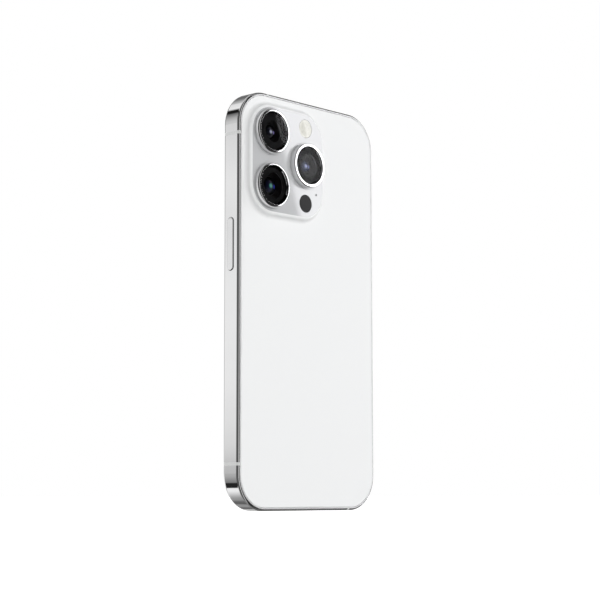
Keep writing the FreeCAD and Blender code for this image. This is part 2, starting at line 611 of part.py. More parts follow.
def band_openings():
    """Cutters for every opening in the band: buttons, ring switch, card tray, port, screws and vents."""
    cutters = []
    reach = f"(dims.band_wall + {OVERRUN})"
    for name, side, length, z in button_places():
        cutters.append(side_slot(name + "_opening", side, f"({length} + 2 * dims.button_gap)",
                                 "(dims.button_width + 2 * dims.button_gap)", OVERRUN,
                                 "(dims.button_cap + dims.button_travel + dims.button_gap)", z))
        cutters.append(side_slot(name + "_slot", side,
                                 f"({length} - dims.button_shorter + 2 * dims.button_gap)",
                                 "(dims.button_stem + 2 * dims.button_gap)", "0", reach, z))
    cutters.append(side_slot("mute_opening", -1, "(dims.mute_length + dims.mute_end_room)",
                             "(dims.mute_width + dims.mute_travel + 2 * dims.button_gap)", OVERRUN,
                             "dims.mute_pocket", MUTE_Z))
    cutters.append(box("mute_slot", f"-{HALF_WIDTH}", f"{BUTTON_Y} - {MUTE_STEM_ROOM} / 2",
                       f"{MUTE_Z} - {MUTE_STEM_SLOT} / 2", reach, MUTE_STEM_ROOM, MUTE_STEM_SLOT))
    cutters.append(side_slot("tray_opening", -1, "(dims.tray_cap_length + 2 * dims.tray_gap)",
                             "(dims.tray_cap_width + 2 * dims.tray_gap)", OVERRUN,
                             "(dims.tray_cap_depth + dims.tray_gap)", TRAY_Z))
    cutters.append(box("tray_slot", f"-{HALF_WIDTH}", f"{BUTTON_Y} - {TRAY_SLOT_DEPTH} / 2",
                       f"{TRAY_Z} - {TRAY_SLOT_LENGTH} / 2", reach, TRAY_SLOT_DEPTH, TRAY_SLOT_LENGTH))
    cutters.append(bottom_slot("port_opening", "dims.port_width", "dims.port_opening", f"-{OVERRUN}",
                               f"{reach} + {OVERRUN}"))
    for side, count in SIDE_VENTS.items():
        cutters.append(bottom_hole(f"screw_hole_{side % 3}", "(dims.screw_radius + dims.screw_gap)",
                                   f"{side} * dims.screw_offset", f"-{OVERRUN}",
                                   f"{OVERRUN} + dims.screw_sunk + dims.screw_head"))
        cutters.append(bottom_hole(f"screw_bore_{side % 3}", "(dims.screw_shank + dims.screw_gap)",
                                   f"{side} * dims.screw_offset", "0", reach))
        cutters += [bottom_hole(f"vent_{side % 3}_{i}", "dims.vent_radius",
                                f"{side} * (dims.vent_first + {i} * dims.vent_pitch)", f"-{OVERRUN}",
                                f"{reach} + {OVERRUN}")
                    for i in range(count)]
    return cutters


def bottom_hole(name, radius, x, start, length):
    """Upright cylinder in the middle of the bottom edge, from height start."""
    hole = doc.addObject("Part::Cylinder", name)
    bind(hole, Radius=radius, Height=length)
    return place(hole, x, MID_Y, start)


def bottom_slot(name, width, across, start, length):
    """Upright bar with half-round ends in the middle of the bottom edge, from height start."""
    body = new_body(name)
    sketch = new_sketch(body, "XY_Plane")
    add_slot(sketch, width, across, upright=False)
    pad(body, sketch, length)
    return place(body, "0", MID_Y, start)


# ---------------------------------------------------------------- glass and cameras

def camera_places():
    """Name, X, Z, housing side, barrel radius and front element radius of each rear camera."""
    low_z = f"({LENS_Z} - dims.lens_pitch_z)"
    return [
        ("ultrawide", LENS_X, LENS_Z, "dims.wide_housing", "dims.wide_barrel", "dims.wide_element"),
        ("main", LENS_X, low_z, "dims.main_housing", "dims.main_barrel", "dims.main_element"),
        ("telephoto", INNER_LENS_X, INNER_LENS_Z, "dims.tele_housing", "dims.tele_barrel",
         "dims.tele_element"),
    ]


FLASH_Z = f"({INNER_LENS_Z} + dims.sensor_pitch / 2)"
DEPTH_SENSOR_Z = f"({INNER_LENS_Z} - dims.sensor_pitch / 2)"
MIC_X = f"({INNER_LENS_X} - dims.mic_side)"
MIC_Z = f"({INNER_LENS_Z} - dims.mic_below)"


def make_back_glass():
    """Back glass with the camera plateau raised from it, hollow underneath, and its holes."""
    glass = new_body("back_glass_body")
    outline = new_sketch(glass, "XZ_Plane")
    add_inset_outline(outline, GLASS_INSET)
    plate = pad(glass, outline, "dims.glass_thickness")
    fillet(glass, plate, "dims.glass_edge", lies_at_y(0))
    raised = new_sketch(glass, "XZ_Plane")
    add_round_rectangle(raised, PLATEAU_WIDTH, PLATEAU_HEIGHT, "dims.plateau_radius",
                        PLATEAU_X, f"({PLATEAU_Z} - {MIDDLE_Z})")
    plateau = pad(glass, raised, "dims.plateau_rise", backwards=True)
    plateau = fillet(glass, plateau, "dims.plateau_round", lies_at_y(number("dims.plateau_rise")))
    reach = number(f"{PLATEAU_WIDTH} / 2 + dims.plateau_blend / 2")
    fillet(glass, plateau, "dims.plateau_blend", lambda edge: (
        lies_at_y(0)(edge) and edge.BoundBox.XMin > number(PLATEAU_X) - reach
        and edge.BoundBox.XMax < number(PLATEAU_X) + reach))
    hollow = new_sketch(glass, "XZ_Plane", "dims.glass_thickness")
    wall = "2 * dims.glass_thickness"
    add_round_rectangle(hollow, f"({PLATEAU_WIDTH} - {wall})", f"({PLATEAU_HEIGHT} - {wall})",
                        "(dims.plateau_radius - dims.glass_thickness)",
                        PLATEAU_X, f"({PLATEAU_Z} - {MIDDLE_Z})")
    pocket(glass, hollow, "dims.plateau_rise")
    holes = new_sketch(glass, "XZ_Plane", f"-dims.plateau_rise - {OVERRUN}")
    for _, x, z, *_ in camera_places():
        add_circle(holes, f"({NECK_RADIUS} + dims.window_gap)", x, f"({z} - {MIDDLE_Z})")
    for radius, x, z in (("(dims.flash_radius + dims.window_gap)", INNER_LENS_X, FLASH_Z),
                         ("(dims.depth_radius + dims.window_gap)", INNER_LENS_X, DEPTH_SENSOR_Z),
                         ("dims.mic_radius", MIC_X, MIC_Z)):
        add_circle(holes, radius, x, f"({z} - {MIDDLE_Z})")
    pocket(glass, holes, f"dims.plateau_rise + dims.glass_thickness + 2 * {OVERRUN}", forwards=True)
    place(glass, "0", depth_y("0"), MIDDLE_Z)
    node(glass, "back_glass")


def make_seal(label, depth):
    """Thin adhesive frame on the band's shelf under a glass."""
    body = new_body(label + "_body")
    sketch = new_sketch(body, "XZ_Plane")
    add_inset_outline(sketch, f"({GLASS_INSET} + dims.fit_gap)")
    add_inset_outline(sketch, f"({GLASS_INSET} + dims.fit_gap + dims.seal_width)")
    pad(body, sketch, "dims.seal_thickness")
    node(place(body, "0", depth_y(depth), MIDDLE_Z), label)


def make_camera(name, x, z, housing, barrel, element):
    """One rear camera: steel ring, cover, housing, moving lens barrel and its front element."""
    ring = new_body(f"{name}_ring_body")
    profile = new_sketch(ring, "XY_Plane")
    ledge_radius = f"({COVER_RADIUS} - dims.ring_ledge)"
    ledge_y = "(-dims.cover_recess - dims.cover_thickness)"
    shoulder_y = "(dims.plateau_rise - dims.lens_rise)"
    foot_y = f"({shoulder_y} - dims.ring_neck_length)"
    add_lines(profile, [
        (COVER_RADIUS, "0"), ("(dims.ring_radius - dims.ring_round)", "0"),
        ("dims.ring_radius", "-dims.ring_round"), ("dims.ring_radius", shoulder_y),
        (NECK_RADIUS, shoulder_y), (NECK_RADIUS, foot_y), (ledge_radius, foot_y),
        (ledge_radius, ledge_y), (COVER_RADIUS, ledge_y),
    ])
    revolve(ring, profile)
    node(place(ring, x, depth_y(RING_LIP), z), f"{name}_lens_ring")

    node(disc(f"{name}_cover_body", f"({COVER_RADIUS} - dims.element_gap)",
              f"{RING_LIP} + dims.cover_recess", "dims.cover_thickness", x, z), f"{name}_lens_cover")

    case = new_body(f"{name}_housing_body")
    square = new_sketch(case, "XZ_Plane")
    add_round_rectangle(square, housing, housing, "dims.housing_corner")
    pad(case, square, f"{HOUSING_BACK} - {HOUSING_FRONT}")
    bore = new_sketch(case, "XZ_Plane")
    add_circle(bore, f"({barrel} + dims.barrel_gap)")
    pocket(case, bore, f"{HOUSING_BACK} - dims.sensor_floor - {HOUSING_FRONT}", forwards=True)
    node(place(case, x, depth_y(HOUSING_FRONT), z), f"{name}_camera_housing")

    tube = new_body(f"{name}_barrel_body")
    section = new_sketch(tube, "XY_Plane")
    cone = "dims.barrel_lip"
    add_lines(section, [
        (element, f"-{BARREL_LENGTH}"), (element, f"-{cone}"), (f"({element} + {cone})", "0"),
        (f"({barrel} - {cone} / 2)", "0"), (barrel, f"-{cone} / 2"), (barrel, f"-{BARREL_LENGTH}"),
    ])
    revolve(tube, section)
    node(place(tube, x, depth_y(BARREL_FRONT), z), f"{name}_lens_barrel")

    front_y = depth_y(f"{BARREL_FRONT} + {cone}")
    ball = doc.addObject("Part::Sphere", f"{name}_element_ball")
    bind(ball, Radius="dims.element_curve")
    place(ball, x, f"{front_y} - dims.element_curve", z)
    rod = doc.addObject("Part::Cylinder", f"{name}_element_rod")
    rod.Placement.Rotation = FreeCAD.Rotation(FreeCAD.Vector(1, 0, 0), -FULL_TURN / 4)
    bind(rod, Radius=f"{element} - dims.element_gap", Height=f"dims.element_depth + {OVERRUN}")
    place(rod, x, f"{front_y} - dims.element_depth", z)
    node(common(f"{name}_element_piece", ball, rod), f"{name}_front_element")


def make_small_sensors():
    """Flash, depth sensor and rear microphone in the plateau, with the parts behind them."""
    surface, behind = "-dims.plateau_rise", "dims.glass_thickness - dims.plateau_rise + dims.fit_gap"
    node(disc("flash_body", "dims.flash_radius", surface, "dims.glass_thickness", INNER_LENS_X, FLASH_Z),
         "flash_window")
    node(disc("depth_body", "dims.depth_radius", surface, "dims.glass_thickness", INNER_LENS_X,
              DEPTH_SENSOR_Z), "depth_sensor_window")
    node(slab("flash_board_body", "dims.flash_board_side", "dims.flash_board_side", "dims.small_corner",
              behind, "dims.flash_board_depth", INNER_LENS_X, FLASH_Z), "flash_board")
    node(slab("depth_module_body", "dims.depth_module_side", "dims.depth_module_side",
              "dims.small_corner", behind, "dims.depth_module_depth", INNER_LENS_X, DEPTH_SENSOR_Z),
         "depth_sensor_module")
    node(slab("rear_mic_body", "dims.mic_width", "dims.mic_height", "dims.small_corner", behind,
              "dims.mic_depth", MIC_X, MIC_Z), "rear_microphone")
    node(slab("bracket_body", f"({PLATEAU_WIDTH} - 2 * dims.bracket_inset)", "dims.bracket_height",
              "dims.bracket_corner", f"{HOUSING_BACK} + dims.fit_gap", "dims.bracket_thickness", PLATEAU_X,
              f"({PLATEAU_BOTTOM} + dims.bracket_inset + dims.bracket_height / 2)"), "camera_bracket")


# ---------------------------------------------------------------- display side

def make_display():
    """Front glass, display panel, front camera, face sensor and earpiece."""
    pill_z = "(dims.body_height - dims.pill_below)"
    glass = new_body("front_glass_body")
    outline = new_sketch(glass, "XZ_Plane")
    add_inset_outline(outline, GLASS_INSET)
    plate = pad(glass, outline, "dims.glass_thickness")
    fillet(glass, plate, "dims.glass_edge", lies_at_y(-number("dims.glass_thickness")))
    notch = new_sketch(glass, "XZ_Plane")
    add_slot(notch, "dims.earpiece_length", "2 * dims.earpiece_slot", False, "0",
             f"({MIDDLE_Z} - {GLASS_INSET})")
    pocket(glass, notch)
    front_depth = "dims.thickness - dims.glass_thickness"
    node(place(glass, "0", depth_y(front_depth), MIDDLE_Z), "front_glass")

    inset = "(dims.band_wall + dims.panel_inset)"
    pill_local = f"({pill_z} - {MIDDLE_Z})"
    node(slab("display_body", f"(dims.body_width - 2 * {inset})", f"(dims.body_height - 2 * {inset})",
              f"(dims.corner_radius - {inset})", DISPLAY_DEPTH, "dims.panel_thickness",
              holes=[lambda s: add_slot(s, "dims.pill_length", "dims.pill_height", False, "0", pill_local)]),
         "display_panel")
    node(disc("front_camera_body", "dims.front_camera_radius", f"{front_depth} - dims.front_camera_depth",
              "dims.front_camera_depth - dims.fit_gap", "dims.front_camera_side", pill_z), "front_camera")
    node(slab("face_sensor_body", "dims.face_sensor_width", "dims.face_sensor_height",
              "dims.small_corner", f"{front_depth} - dims.face_sensor_depth",
              "dims.face_sensor_depth - dims.fit_gap",
              "-dims.face_sensor_side", pill_z), "face_sensor")
    node(slab("earpiece_body", "dims.earpiece_length", "dims.earpiece_height", "dims.plate_corner",
              f"{DISPLAY_DEPTH} - dims.earpiece_depth - dims.fit_gap", "dims.earpiece_depth",
              "0", "(dims.body_height - dims.band_wall - dims.earpiece_height / 2 - dims.fit_gap)"),
         "earpiece_speaker")


# ---------------------------------------------------------------- buttons, ring switch, card tray

def button_places():
    """Name, side, length and height of each push button."""
    return [
        ("side_button", 1, "dims.side_button_length", "dims.side_button_height"),
        ("volume_up_button", -1, "dims.volume_length", "dims.volume_up_height"),
        ("volume_down_button", -1, "dims.volume_length", "dims.volume_down_height"),
    ]


def make_button(name, side, length, z):
    """Push button: cap, narrower stem through the band and retaining ears behind it, in one piece."""
    body = new_body(name + "_body")
    inward = side > 0
    face = new_sketch(body, "YZ_Plane", "0")
    add_slot(face, length, "dims.button_width", upright=True)
    cap = pad(body, face, "dims.button_proud + dims.button_cap", backwards=inward)
    fillet(body, cap, "dims.button_edge", lies_at_x(0))
    stem_length = f"({length} - dims.button_shorter)"
    reach = "(dims.button_proud + dims.band_wall + dims.button_gap)"
    stem = new_sketch(body, "YZ_Plane", "0")
    add_slot(stem, stem_length, "dims.button_stem", upright=True)
    pad(body, stem, f"{reach} + dims.ear_thickness", backwards=inward)
    ears = new_sketch(body, "YZ_Plane", f"{-side} * {reach}")
    add_slot(ears, f"({stem_length} + 2 * dims.button_ear)", "dims.button_stem", upright=True)
    pad(body, ears, "dims.ear_thickness", backwards=inward)
    node(place(body, f"{side} * ({HALF_WIDTH} + dims.button_proud)", BUTTON_Y, z), name)


def make_button_switches():
    """Tactile switches that the three buttons press, on their sheet-metal brackets."""
    y, deep = f"{BUTTON_Y} - dims.button_stem / 2", "dims.button_stem"
    pieces = []
    for name, side, length, z in button_places():
        front = f"({CAVITY_HALF} - {SWITCH_GAP})"
        for part, outer, depth, tall in (
                ("switch", front, "dims.switch_depth", "dims.switch_length"),
                ("bracket", f"({front} - dims.switch_depth)", "dims.switch_bracket",
                 f"({length} - dims.button_shorter)")):
            pieces.append(box(f"{name}_{part}", f"{side} * ({outer} - {depth} / 2) - {depth} / 2", y,
                              f"{z} - {tall} / 2", depth, deep, tall))
    node(fuse("button_switch_pieces", pieces), "button_switches")


def make_ring_switch():
    """Ring switch: a slider with its stem, and the forked switch case behind the band.
    At rest the slider is at the display side of its travel."""
    body = new_body("mute_slider_body")
    face = new_sketch(body, "YZ_Plane", "0")
    add_slot(face, "dims.mute_length", "dims.mute_width", upright=True)
    cap = pad(body, face, "dims.button_proud + dims.mute_pocket - dims.button_gap")
    fillet(body, cap, "dims.button_edge", lies_at_x(0))
    stem = new_sketch(body, "YZ_Plane", "0")
    add_round_rectangle(stem, "dims.mute_stem_width", "dims.mute_stem_length", "dims.plate_corner")
    pad(body, stem, "dims.button_proud + dims.band_wall + dims.switch_depth / 2")
    node(place(body, f"-({HALF_WIDTH} + dims.button_proud)", f"{BUTTON_Y} - dims.mute_travel / 2", MUTE_Z),
         "mute_slider")

    wide = "(dims.mute_stem_width + dims.mute_travel)"
    x, y = f"-{CAVITY_HALF} + dims.fit_gap", f"{BUTTON_Y} - {wide} / 2"
    case = box("mute_case_block", x, y, f"{MUTE_Z} - dims.mute_case_length / 2",
               "dims.switch_depth + dims.mute_case_back", wide, "dims.mute_case_length")
    slot = box("mute_case_slot", x, y, f"{MUTE_Z} - {MUTE_STEM_SLOT} / 2", "dims.switch_depth", wide,
               MUTE_STEM_SLOT)
    node(cut("mute_case_piece", case, slot), "mute_switch_case")


def make_card_tray():
    """Card tray with its cap and card recess, and the sheet-metal reader cage that it slides into."""
    body = new_body("card_tray_body")
    face = new_sketch(body, "YZ_Plane", "0")
    add_slot(face, "dims.tray_cap_length", "dims.tray_cap_width", upright=True)
    add_circle(face, "dims.eject_hole", "0", "-dims.eject_offset")
    cap = pad(body, face, "dims.tray_cap_depth")
    mouth = 2 * math.pi * number("dims.eject_hole")
    fillet(body, cap, "dims.button_edge / 2", lambda edge: (
        lies_at_x(0)(edge) and abs(edge.Length - mouth) > mouth / 10))
    plate = new_sketch(body, "YZ_Plane", "dims.tray_cap_depth")
    add_round_rectangle(plate, "dims.tray_thickness", "dims.tray_length", "dims.plate_corner")
    pad(body, plate, "dims.tray_reach")
    recess = new_sketch(body, "XZ_Plane", "dims.tray_thickness / 2 - dims.card_thickness")
    card_x = "(dims.tray_cap_depth + dims.tray_reach - dims.card_length / 2 - dims.card_border)"
    add_round_rectangle(recess, "dims.card_length", "dims.card_width", "dims.small_corner", card_x, "0")
    pocket(body, recess, f"dims.card_thickness + {OVERRUN}", forwards=True)
    node(place(body, f"-{HALF_WIDTH}", BUTTON_Y, TRAY_Z), "card_tray")

    wall = "dims.reader_wall"
    length = "(dims.tray_cap_depth + dims.tray_reach - dims.band_wall + dims.tray_gap)"
    x = f"-{CAVITY_HALF} + dims.fit_gap"
    cage = box("reader_block", x, f"{BUTTON_Y} - {TRAY_SLOT_DEPTH} / 2 - {wall}",
               f"{TRAY_Z} - {TRAY_SLOT_LENGTH} / 2 - {wall}", f"{length} + {wall}",
               f"{TRAY_SLOT_DEPTH} + 2 * {wall}", f"{TRAY_SLOT_LENGTH} + 2 * {wall}")
    hollow = box("reader_hollow", x, f"{BUTTON_Y} - {TRAY_SLOT_DEPTH} / 2",
                 f"{TRAY_Z} - {TRAY_SLOT_LENGTH} / 2", length, TRAY_SLOT_DEPTH, TRAY_SLOT_LENGTH)
    node(cut("reader_piece", cage, hollow), "card_reader")


# ---------------------------------------------------------------- bottom edge

def make_charging_port():
    """Charging port: a closed shell behind the band's opening, with a row of contacts on its floor."""
    start = "(dims.band_wall + dims.fit_gap)"
    outer = bottom_slot("port_shell", "(dims.port_width + 2 * dims.port_wall)",
                        "(dims.port_opening + 2 * dims.port_wall)", start, "dims.port_depth + dims.port_wall")
    inner = bottom_slot("port_space", "dims.port_width", "dims.port_opening", start, "dims.port_depth")
    node(cut("port_piece", outer, inner), "charging_port")
    floor_y = f"{MID_Y} + dims.port_opening / 2 - dims.contact_thickness"
    contacts = [box(f"contact_{i}",
                    f"({i} - {(CONTACTS - 1) / 2}) * dims.contact_pitch - dims.contact_width / 2",
                    floor_y, f"{start} + dims.port_depth - dims.contact_length",
                    "dims.contact_width", "dims.contact_thickness", "dims.contact_length")
                for i in range(CONTACTS)]
    node(fuse("contact_pieces", contacts), "port_contacts")


def make_bottom_screws():
    """Two small machine screws with five-lobed sockets, one each side of the port."""
    screws = []
    deep = "dims.screw_sunk + dims.socket_depth"
    for side in (1, -1):
        x, tag = f"{side} * dims.screw_offset", side % 3
        head = bottom_hole(f"screw_head_{tag}", "dims.screw_radius", x, "dims.screw_sunk", "dims.screw_head")
        shank = bottom_hole(f"screw_shank_{tag}", "dims.screw_shank", x, "dims.screw_sunk",
                            "dims.screw_head + dims.screw_length")
        lobes = [bottom_hole(f"screw_core_{tag}", "dims.socket_core", x, "0", deep)]
        for i in range(LOBES):
            turn = math.radians(FULL_TURN / LOBES * i)
            lobe = bottom_hole(f"screw_lobe_{tag}_{i}", "dims.socket_lobe",
                               f"{x} + dims.socket_spread * {math.cos(turn):.6f}", "0", deep)
            lobe.setExpression("Placement.Base.y", f"{MID_Y} + dims.socket_spread * {math.sin(turn):.6f}")
            lobes.append(lobe)
        whole = fuse(f"screw_whole_{tag}", [head, shank])
        screws.append(cut(f"screw_{tag}", whole, fuse(f"screw_socket_{tag}", lobes)))
    pair = doc.addObject("Part::Compound", "screw_pair")
    pair.Links = screws
    node(pair, "bottom_screws")


def make_acoustic_meshes():
    """Woven meshes behind the two rows of sound holes."""
    strips = []
    for side, count in SIDE_VENTS.items():
        span = f"(({count} - 1) * dims.vent_pitch + 2 * dims.vent_radius)"
        middle = f"{side} * (dims.vent_first + ({count} - 1) * dims.vent_pitch / 2)"
        strips.append(box(f"mesh_{side % 3}", f"{middle} - {span} / 2",
                          f"{MID_Y} - dims.mesh_width / 2",
                          "dims.band_wall + dims.fit_gap", span, "dims.mesh_width", "dims.mesh_thickness"))
    pair = doc.addObject("Part::Compound", "mesh_pair")
    pair.Links = strips
    node(pair, "acoustic_meshes")


# ---------------------------------------------------------------- inner pieces

def make_charging_coil():
    """Aluminium plate behind the back glass, charging coil, magnet ring and ferrite sheet."""
    layer = BACK_SEAT
    inset = "(dims.band_wall + dims.fit_gap)"
    node(slab("back_plate_body", f"(dims.body_width - 2 * {inset})", f"(dims.body_height - 2 * {inset})",
              f"(dims.corner_radius - {inset})", layer, "dims.plate_thickness",
              holes=[lambda s: add_circle(s, "dims.coil_window"),
                     lambda s: add_round_rectangle(
                         s, f"({PLATEAU_WIDTH} - 2 * dims.bracket_inset)",
                         f"({PLATEAU_HEIGHT} - 2 * dims.bracket_inset)",
                         "(dims.plateau_radius - dims.bracket_inset)", PLATEAU_X,
                         f"({PLATEAU_Z} - {MIDDLE_Z})")]),
         "back_plate")
    coil = new_body("coil_body")
    ring = new_sketch(coil, "XZ_Plane")
    add_circle(ring, "dims.coil_outer")
    add_circle(ring, "dims.coil_inner")
    pad(coil, ring, "dims.coil_thickness")
    node(place(coil, "0", depth_y(layer), MIDDLE_Z), "charging_coil")

    magnets = new_body("magnet_body")
    magnets.AllowCompound = True
    section = new_sketch(magnets, "XY_Plane")
    add_lines(section, [("dims.magnet_inner", "0"), ("dims.magnet_outer", "0"),
                        ("dims.magnet_outer", "-dims.coil_thickness"),
                        ("dims.magnet_inner", "-dims.coil_thickness")])
    first = revolve(magnets, section, MAGNET_ANGLE)
    doc.recompute()
    ringed = magnets.newObject("PartDesign::PolarPattern", "magnet_pattern")
    ringed.Originals = [first]
    ringed.Axis = (section, ["V_Axis"])
    ringed.Angle = FULL_TURN
    ringed.Occurrences = MAGNETS
    magnets.Tip = ringed
    node(place(magnets, "0", depth_y(layer), MIDDLE_Z), "magnet_ring")

    node(disc("shield_body", "(dims.coil_outer + dims.bay_gap)",
              f"{layer} + dims.coil_thickness + dims.fit_gap",
              "dims.shield_thickness", "0", MIDDLE_Z), "coil_shield")


def make_electronics():
    """Battery, two-storey logic board, loudspeaker, dock board and haptic motor."""
    start = "dims.bay_depth"
    battery_left = f"({BOARD_RIGHT} + dims.bay_gap)"
    battery_right = f"({CAVITY_HALF} - {BUTTON_ROOM} - dims.fit_gap)"
    battery_height = f"({PLATEAU_BOTTOM} - dims.bay_gap - dims.bottom_bay)"
    node(slab("battery_body", f"({battery_right} - {battery_left})", battery_height, "dims.battery_corner",
              start, f"{DISPLAY_DEPTH} - dims.swell_room - {start}",
              f"(({battery_right} + {battery_left}) / 2)", f"(dims.bottom_bay + {battery_height} / 2)"),
         "battery")

    board_height = "(dims.body_height - dims.board_top_gap - dims.board_bottom)"
    board_x = f"({BOARD_LEFT} + dims.board_width / 2)"
    board_z = f"(dims.board_bottom + {board_height} / 2)"
    frame_width = "(dims.board_width - 2 * dims.spacer_inset)"
    frame_height = f"({board_height} - 2 * dims.spacer_inset)"
    node(slab("board_low_body", "dims.board_width", board_height, "dims.board_corner", start,
              "dims.board_thickness", board_x, board_z), "logic_board_lower")
    node(slab("board_frame_body", frame_width, frame_height, "(dims.spacer_wall + dims.small_corner)",
              f"{start} + dims.board_thickness", "dims.spacer_thickness", board_x, board_z,
              holes=[lambda s: add_round_rectangle(
                  s, f"({frame_width} - 2 * dims.spacer_wall)",
                  f"({frame_height} - 2 * dims.spacer_wall)", "dims.small_corner")]),
         "board_spacer_frame")
    node(slab("board_high_body", "dims.board_width", board_height, "dims.board_corner",
              f"{start} + dims.board_thickness + dims.spacer_thickness", "dims.board_thickness", board_x,
              board_z), "logic_board_upper")

    speaker_left = "(dims.screw_offset + dims.screw_radius + dims.fit_gap)"
    speaker_right = f"({CAVITY_HALF} - dims.speaker_side_gap)"
    node(slab("speaker_body", f"({speaker_right} - {speaker_left})", "dims.speaker_height",
              "dims.speaker_corner", start, BAY_DEPTH, f"(({speaker_right} + {speaker_left}) / 2)",
              "(dims.band_wall + dims.speaker_lift + dims.speaker_height / 2)"), "loudspeaker")
    node(slab("dock_board_body", "dims.dock_board_width", "dims.dock_board_height", "dims.small_corner",
              f"{start} + dims.dock_board_sunk", "dims.board_thickness",
              "(dims.dock_board_side - dims.dock_board_width / 2)",
              "(dims.band_wall + dims.port_depth + dims.port_wall + dims.bay_gap"
              " + dims.dock_board_height / 2)"), "dock_board")
    make_haptic_motor()


def make_haptic_motor():
    """Haptic motor: an open steel case and the tungsten mass that shakes inside it."""
    width = "(dims.board_width - dims.bay_gap)"
    x = f"({BOARD_RIGHT} - {width} / 2)"
    case = new_body("haptic_case_body")
    outline = new_sketch(case, "XZ_Plane")
    add_round_rectangle(outline, width, "dims.haptic_height", "dims.haptic_corner")
    pad(case, outline, BAY_DEPTH)
    inside = new_sketch(case, "XZ_Plane", "dims.haptic_wall")
    add_round_rectangle(inside, f"({width} - 2 * dims.haptic_wall)",
                        "(dims.haptic_height - 2 * dims.haptic_wall)",
                        "(dims.haptic_corner - dims.haptic_wall)")
    pocket(case, inside, BAY_DEPTH, forwards=True)
    node(place(case, x, depth_y("dims.bay_depth"), "dims.haptic_middle"), "haptic_case")
    room = "(dims.haptic_wall + dims.haptic_travel + dims.haptic_gap)"
    node(slab("haptic_mass_body", f"({width} - 2 * {room})", f"(dims.haptic_height - 2 * {room})",
              "dims.small_corner", "dims.bay_depth + dims.haptic_wall + dims.haptic_gap",
              f"{BAY_DEPTH} - dims.haptic_wall - 2 * dims.haptic_gap", x, "dims.haptic_middle"),
         "haptic_mass")


# ---------------------------------------------------------------- checks and export

def check_and_export():
    """Stops on any failed feature or shape, then writes one STEP file for each node."""
    doc.recompute()
    failed = [o.Name for o in doc.Objects if "Invalid" in o.State or "Error" in o.State]
    if failed:
        raise RuntimeError(f"features that failed: {failed}")
    for piece in nodes:
        shape = piece.Shape
        if shape.isNull() or not shape.isValid() or not shape.Solids:
            raise RuntimeError(f"{piece.Label} has no valid solid")
        if min(solid.Volume for solid in shape.Solids) <= 0:
            raise RuntimeError(f"{piece.Label} has a solid with no volume")
    os.makedirs(OUTPUT_FOLDER, exist_ok=True)
    for name in os.listdir(OUTPUT_FOLDER):
        if name.endswith(".step"):
            os.remove(os.path.join(OUTPUT_FOLDER, name))
    for piece in nodes:
        piece.Shape.exportStep(os.path.join(OUTPUT_FOLDER, f"{piece.Label}.step"))
        solids = piece.Shape.Solids
        print(f"{piece.Label}: {len(solids)} solid(s), {sum(s.Volume for s in solids):.1f} mm3")
    print(f"{len(nodes)} nodes")


fill_sheet()
make_band()
make_back_glass()
make_seal("back_glass_seal", "dims.glass_thickness")
make_seal("display_seal", f"dims.thickness - {BACK_SEAT}")
for camera in camera_places():
    make_camera(*camera)
make_small_sensors()
make_display()
for button in button_places():
    make_button(*button)
make_button_switches()
make_ring_switch()
make_card_tray()
make_charging_port()
make_bottom_screws()
make_acoustic_meshes()
make_charging_coil()
make_electronics()
check_and_export()
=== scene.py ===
"""Looks of a slim white-and-steel smartphone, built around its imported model.

Everything is in metres in the model's own frame: +Z runs up the phone, +Y is its back and +X its
side-button side.
"""
import logging
import math
from dataclasses import dataclass, field
from enum import Enum
from typing import ClassVar, Dict, List, Optional, Sequence, Tuple

import bpy
import numpy as np
from mathutils import Matrix, Vector
from mathutils.geometry import tessellate_polygon


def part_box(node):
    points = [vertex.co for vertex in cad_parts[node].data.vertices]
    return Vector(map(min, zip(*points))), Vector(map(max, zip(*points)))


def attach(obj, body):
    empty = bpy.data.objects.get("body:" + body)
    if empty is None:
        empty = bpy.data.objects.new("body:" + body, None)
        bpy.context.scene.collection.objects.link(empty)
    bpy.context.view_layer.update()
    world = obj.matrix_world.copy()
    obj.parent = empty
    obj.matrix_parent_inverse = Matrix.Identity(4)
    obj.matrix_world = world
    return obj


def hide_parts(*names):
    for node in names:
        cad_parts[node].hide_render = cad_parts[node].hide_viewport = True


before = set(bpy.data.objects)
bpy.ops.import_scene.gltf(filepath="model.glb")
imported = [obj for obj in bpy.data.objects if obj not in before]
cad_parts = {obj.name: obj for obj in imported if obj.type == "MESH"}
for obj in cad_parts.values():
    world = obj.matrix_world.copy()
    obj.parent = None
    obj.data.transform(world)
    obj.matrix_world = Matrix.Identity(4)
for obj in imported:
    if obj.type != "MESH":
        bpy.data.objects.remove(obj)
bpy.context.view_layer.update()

LOG = logging.getLogger("smartphone")
MM = 0.001
WELD = 1e-7  # points nearer than this, in metres, become one vertex
PHONE = "phone"  # the body that everything fixed rides on
SHORTEST = 1e-9  # a straight run of a section under this, in millimetres, is left out
PILL_SLACK = 0.01  # a pill's corner radius stays this much under half its width
Corner = Tuple[float, float, float]
Bands = Tuple[Tuple[float, float], ...]
Colour = Tuple[float, float, float, float]


# ------------------------------------------------------------------ colours and shader nodes

def linear(colour: str) -> Colour:
    """Turns an sRGB hex colour into linear light.

    Args:
        colour: "#rrggbb".

    Returns:
        Linear red, green and blue, and an alpha of one.
    """
    values = np.array([int(colour[i:i + 2], 16) for i in (1, 3, 5)]) / 255.0
    light = np.where(values <= 0.04045, values / 12.92, ((values + 0.055) / 1.055) ** 2.4)
    return float(light[0]), float(light[1]), float(light[2]), 1.0


def grey(value: float) -> Colour:
    """Linear grey of one brightness."""
    return value, value, value, 1.0


def blank_material(name: str) -> Tuple[bpy.types.Material, bpy.types.NodeTree, bpy.types.Node]:
    """Makes a material that holds only its Principled shader and its output.

    Args:
        name: name of the material.

    Returns:
        The material, its node tree and its shader.
    """
    material = bpy.data.materials.new(name)
    material.use_nodes = True
    return material, material.node_tree, material.node_tree.nodes["Principled BSDF"]


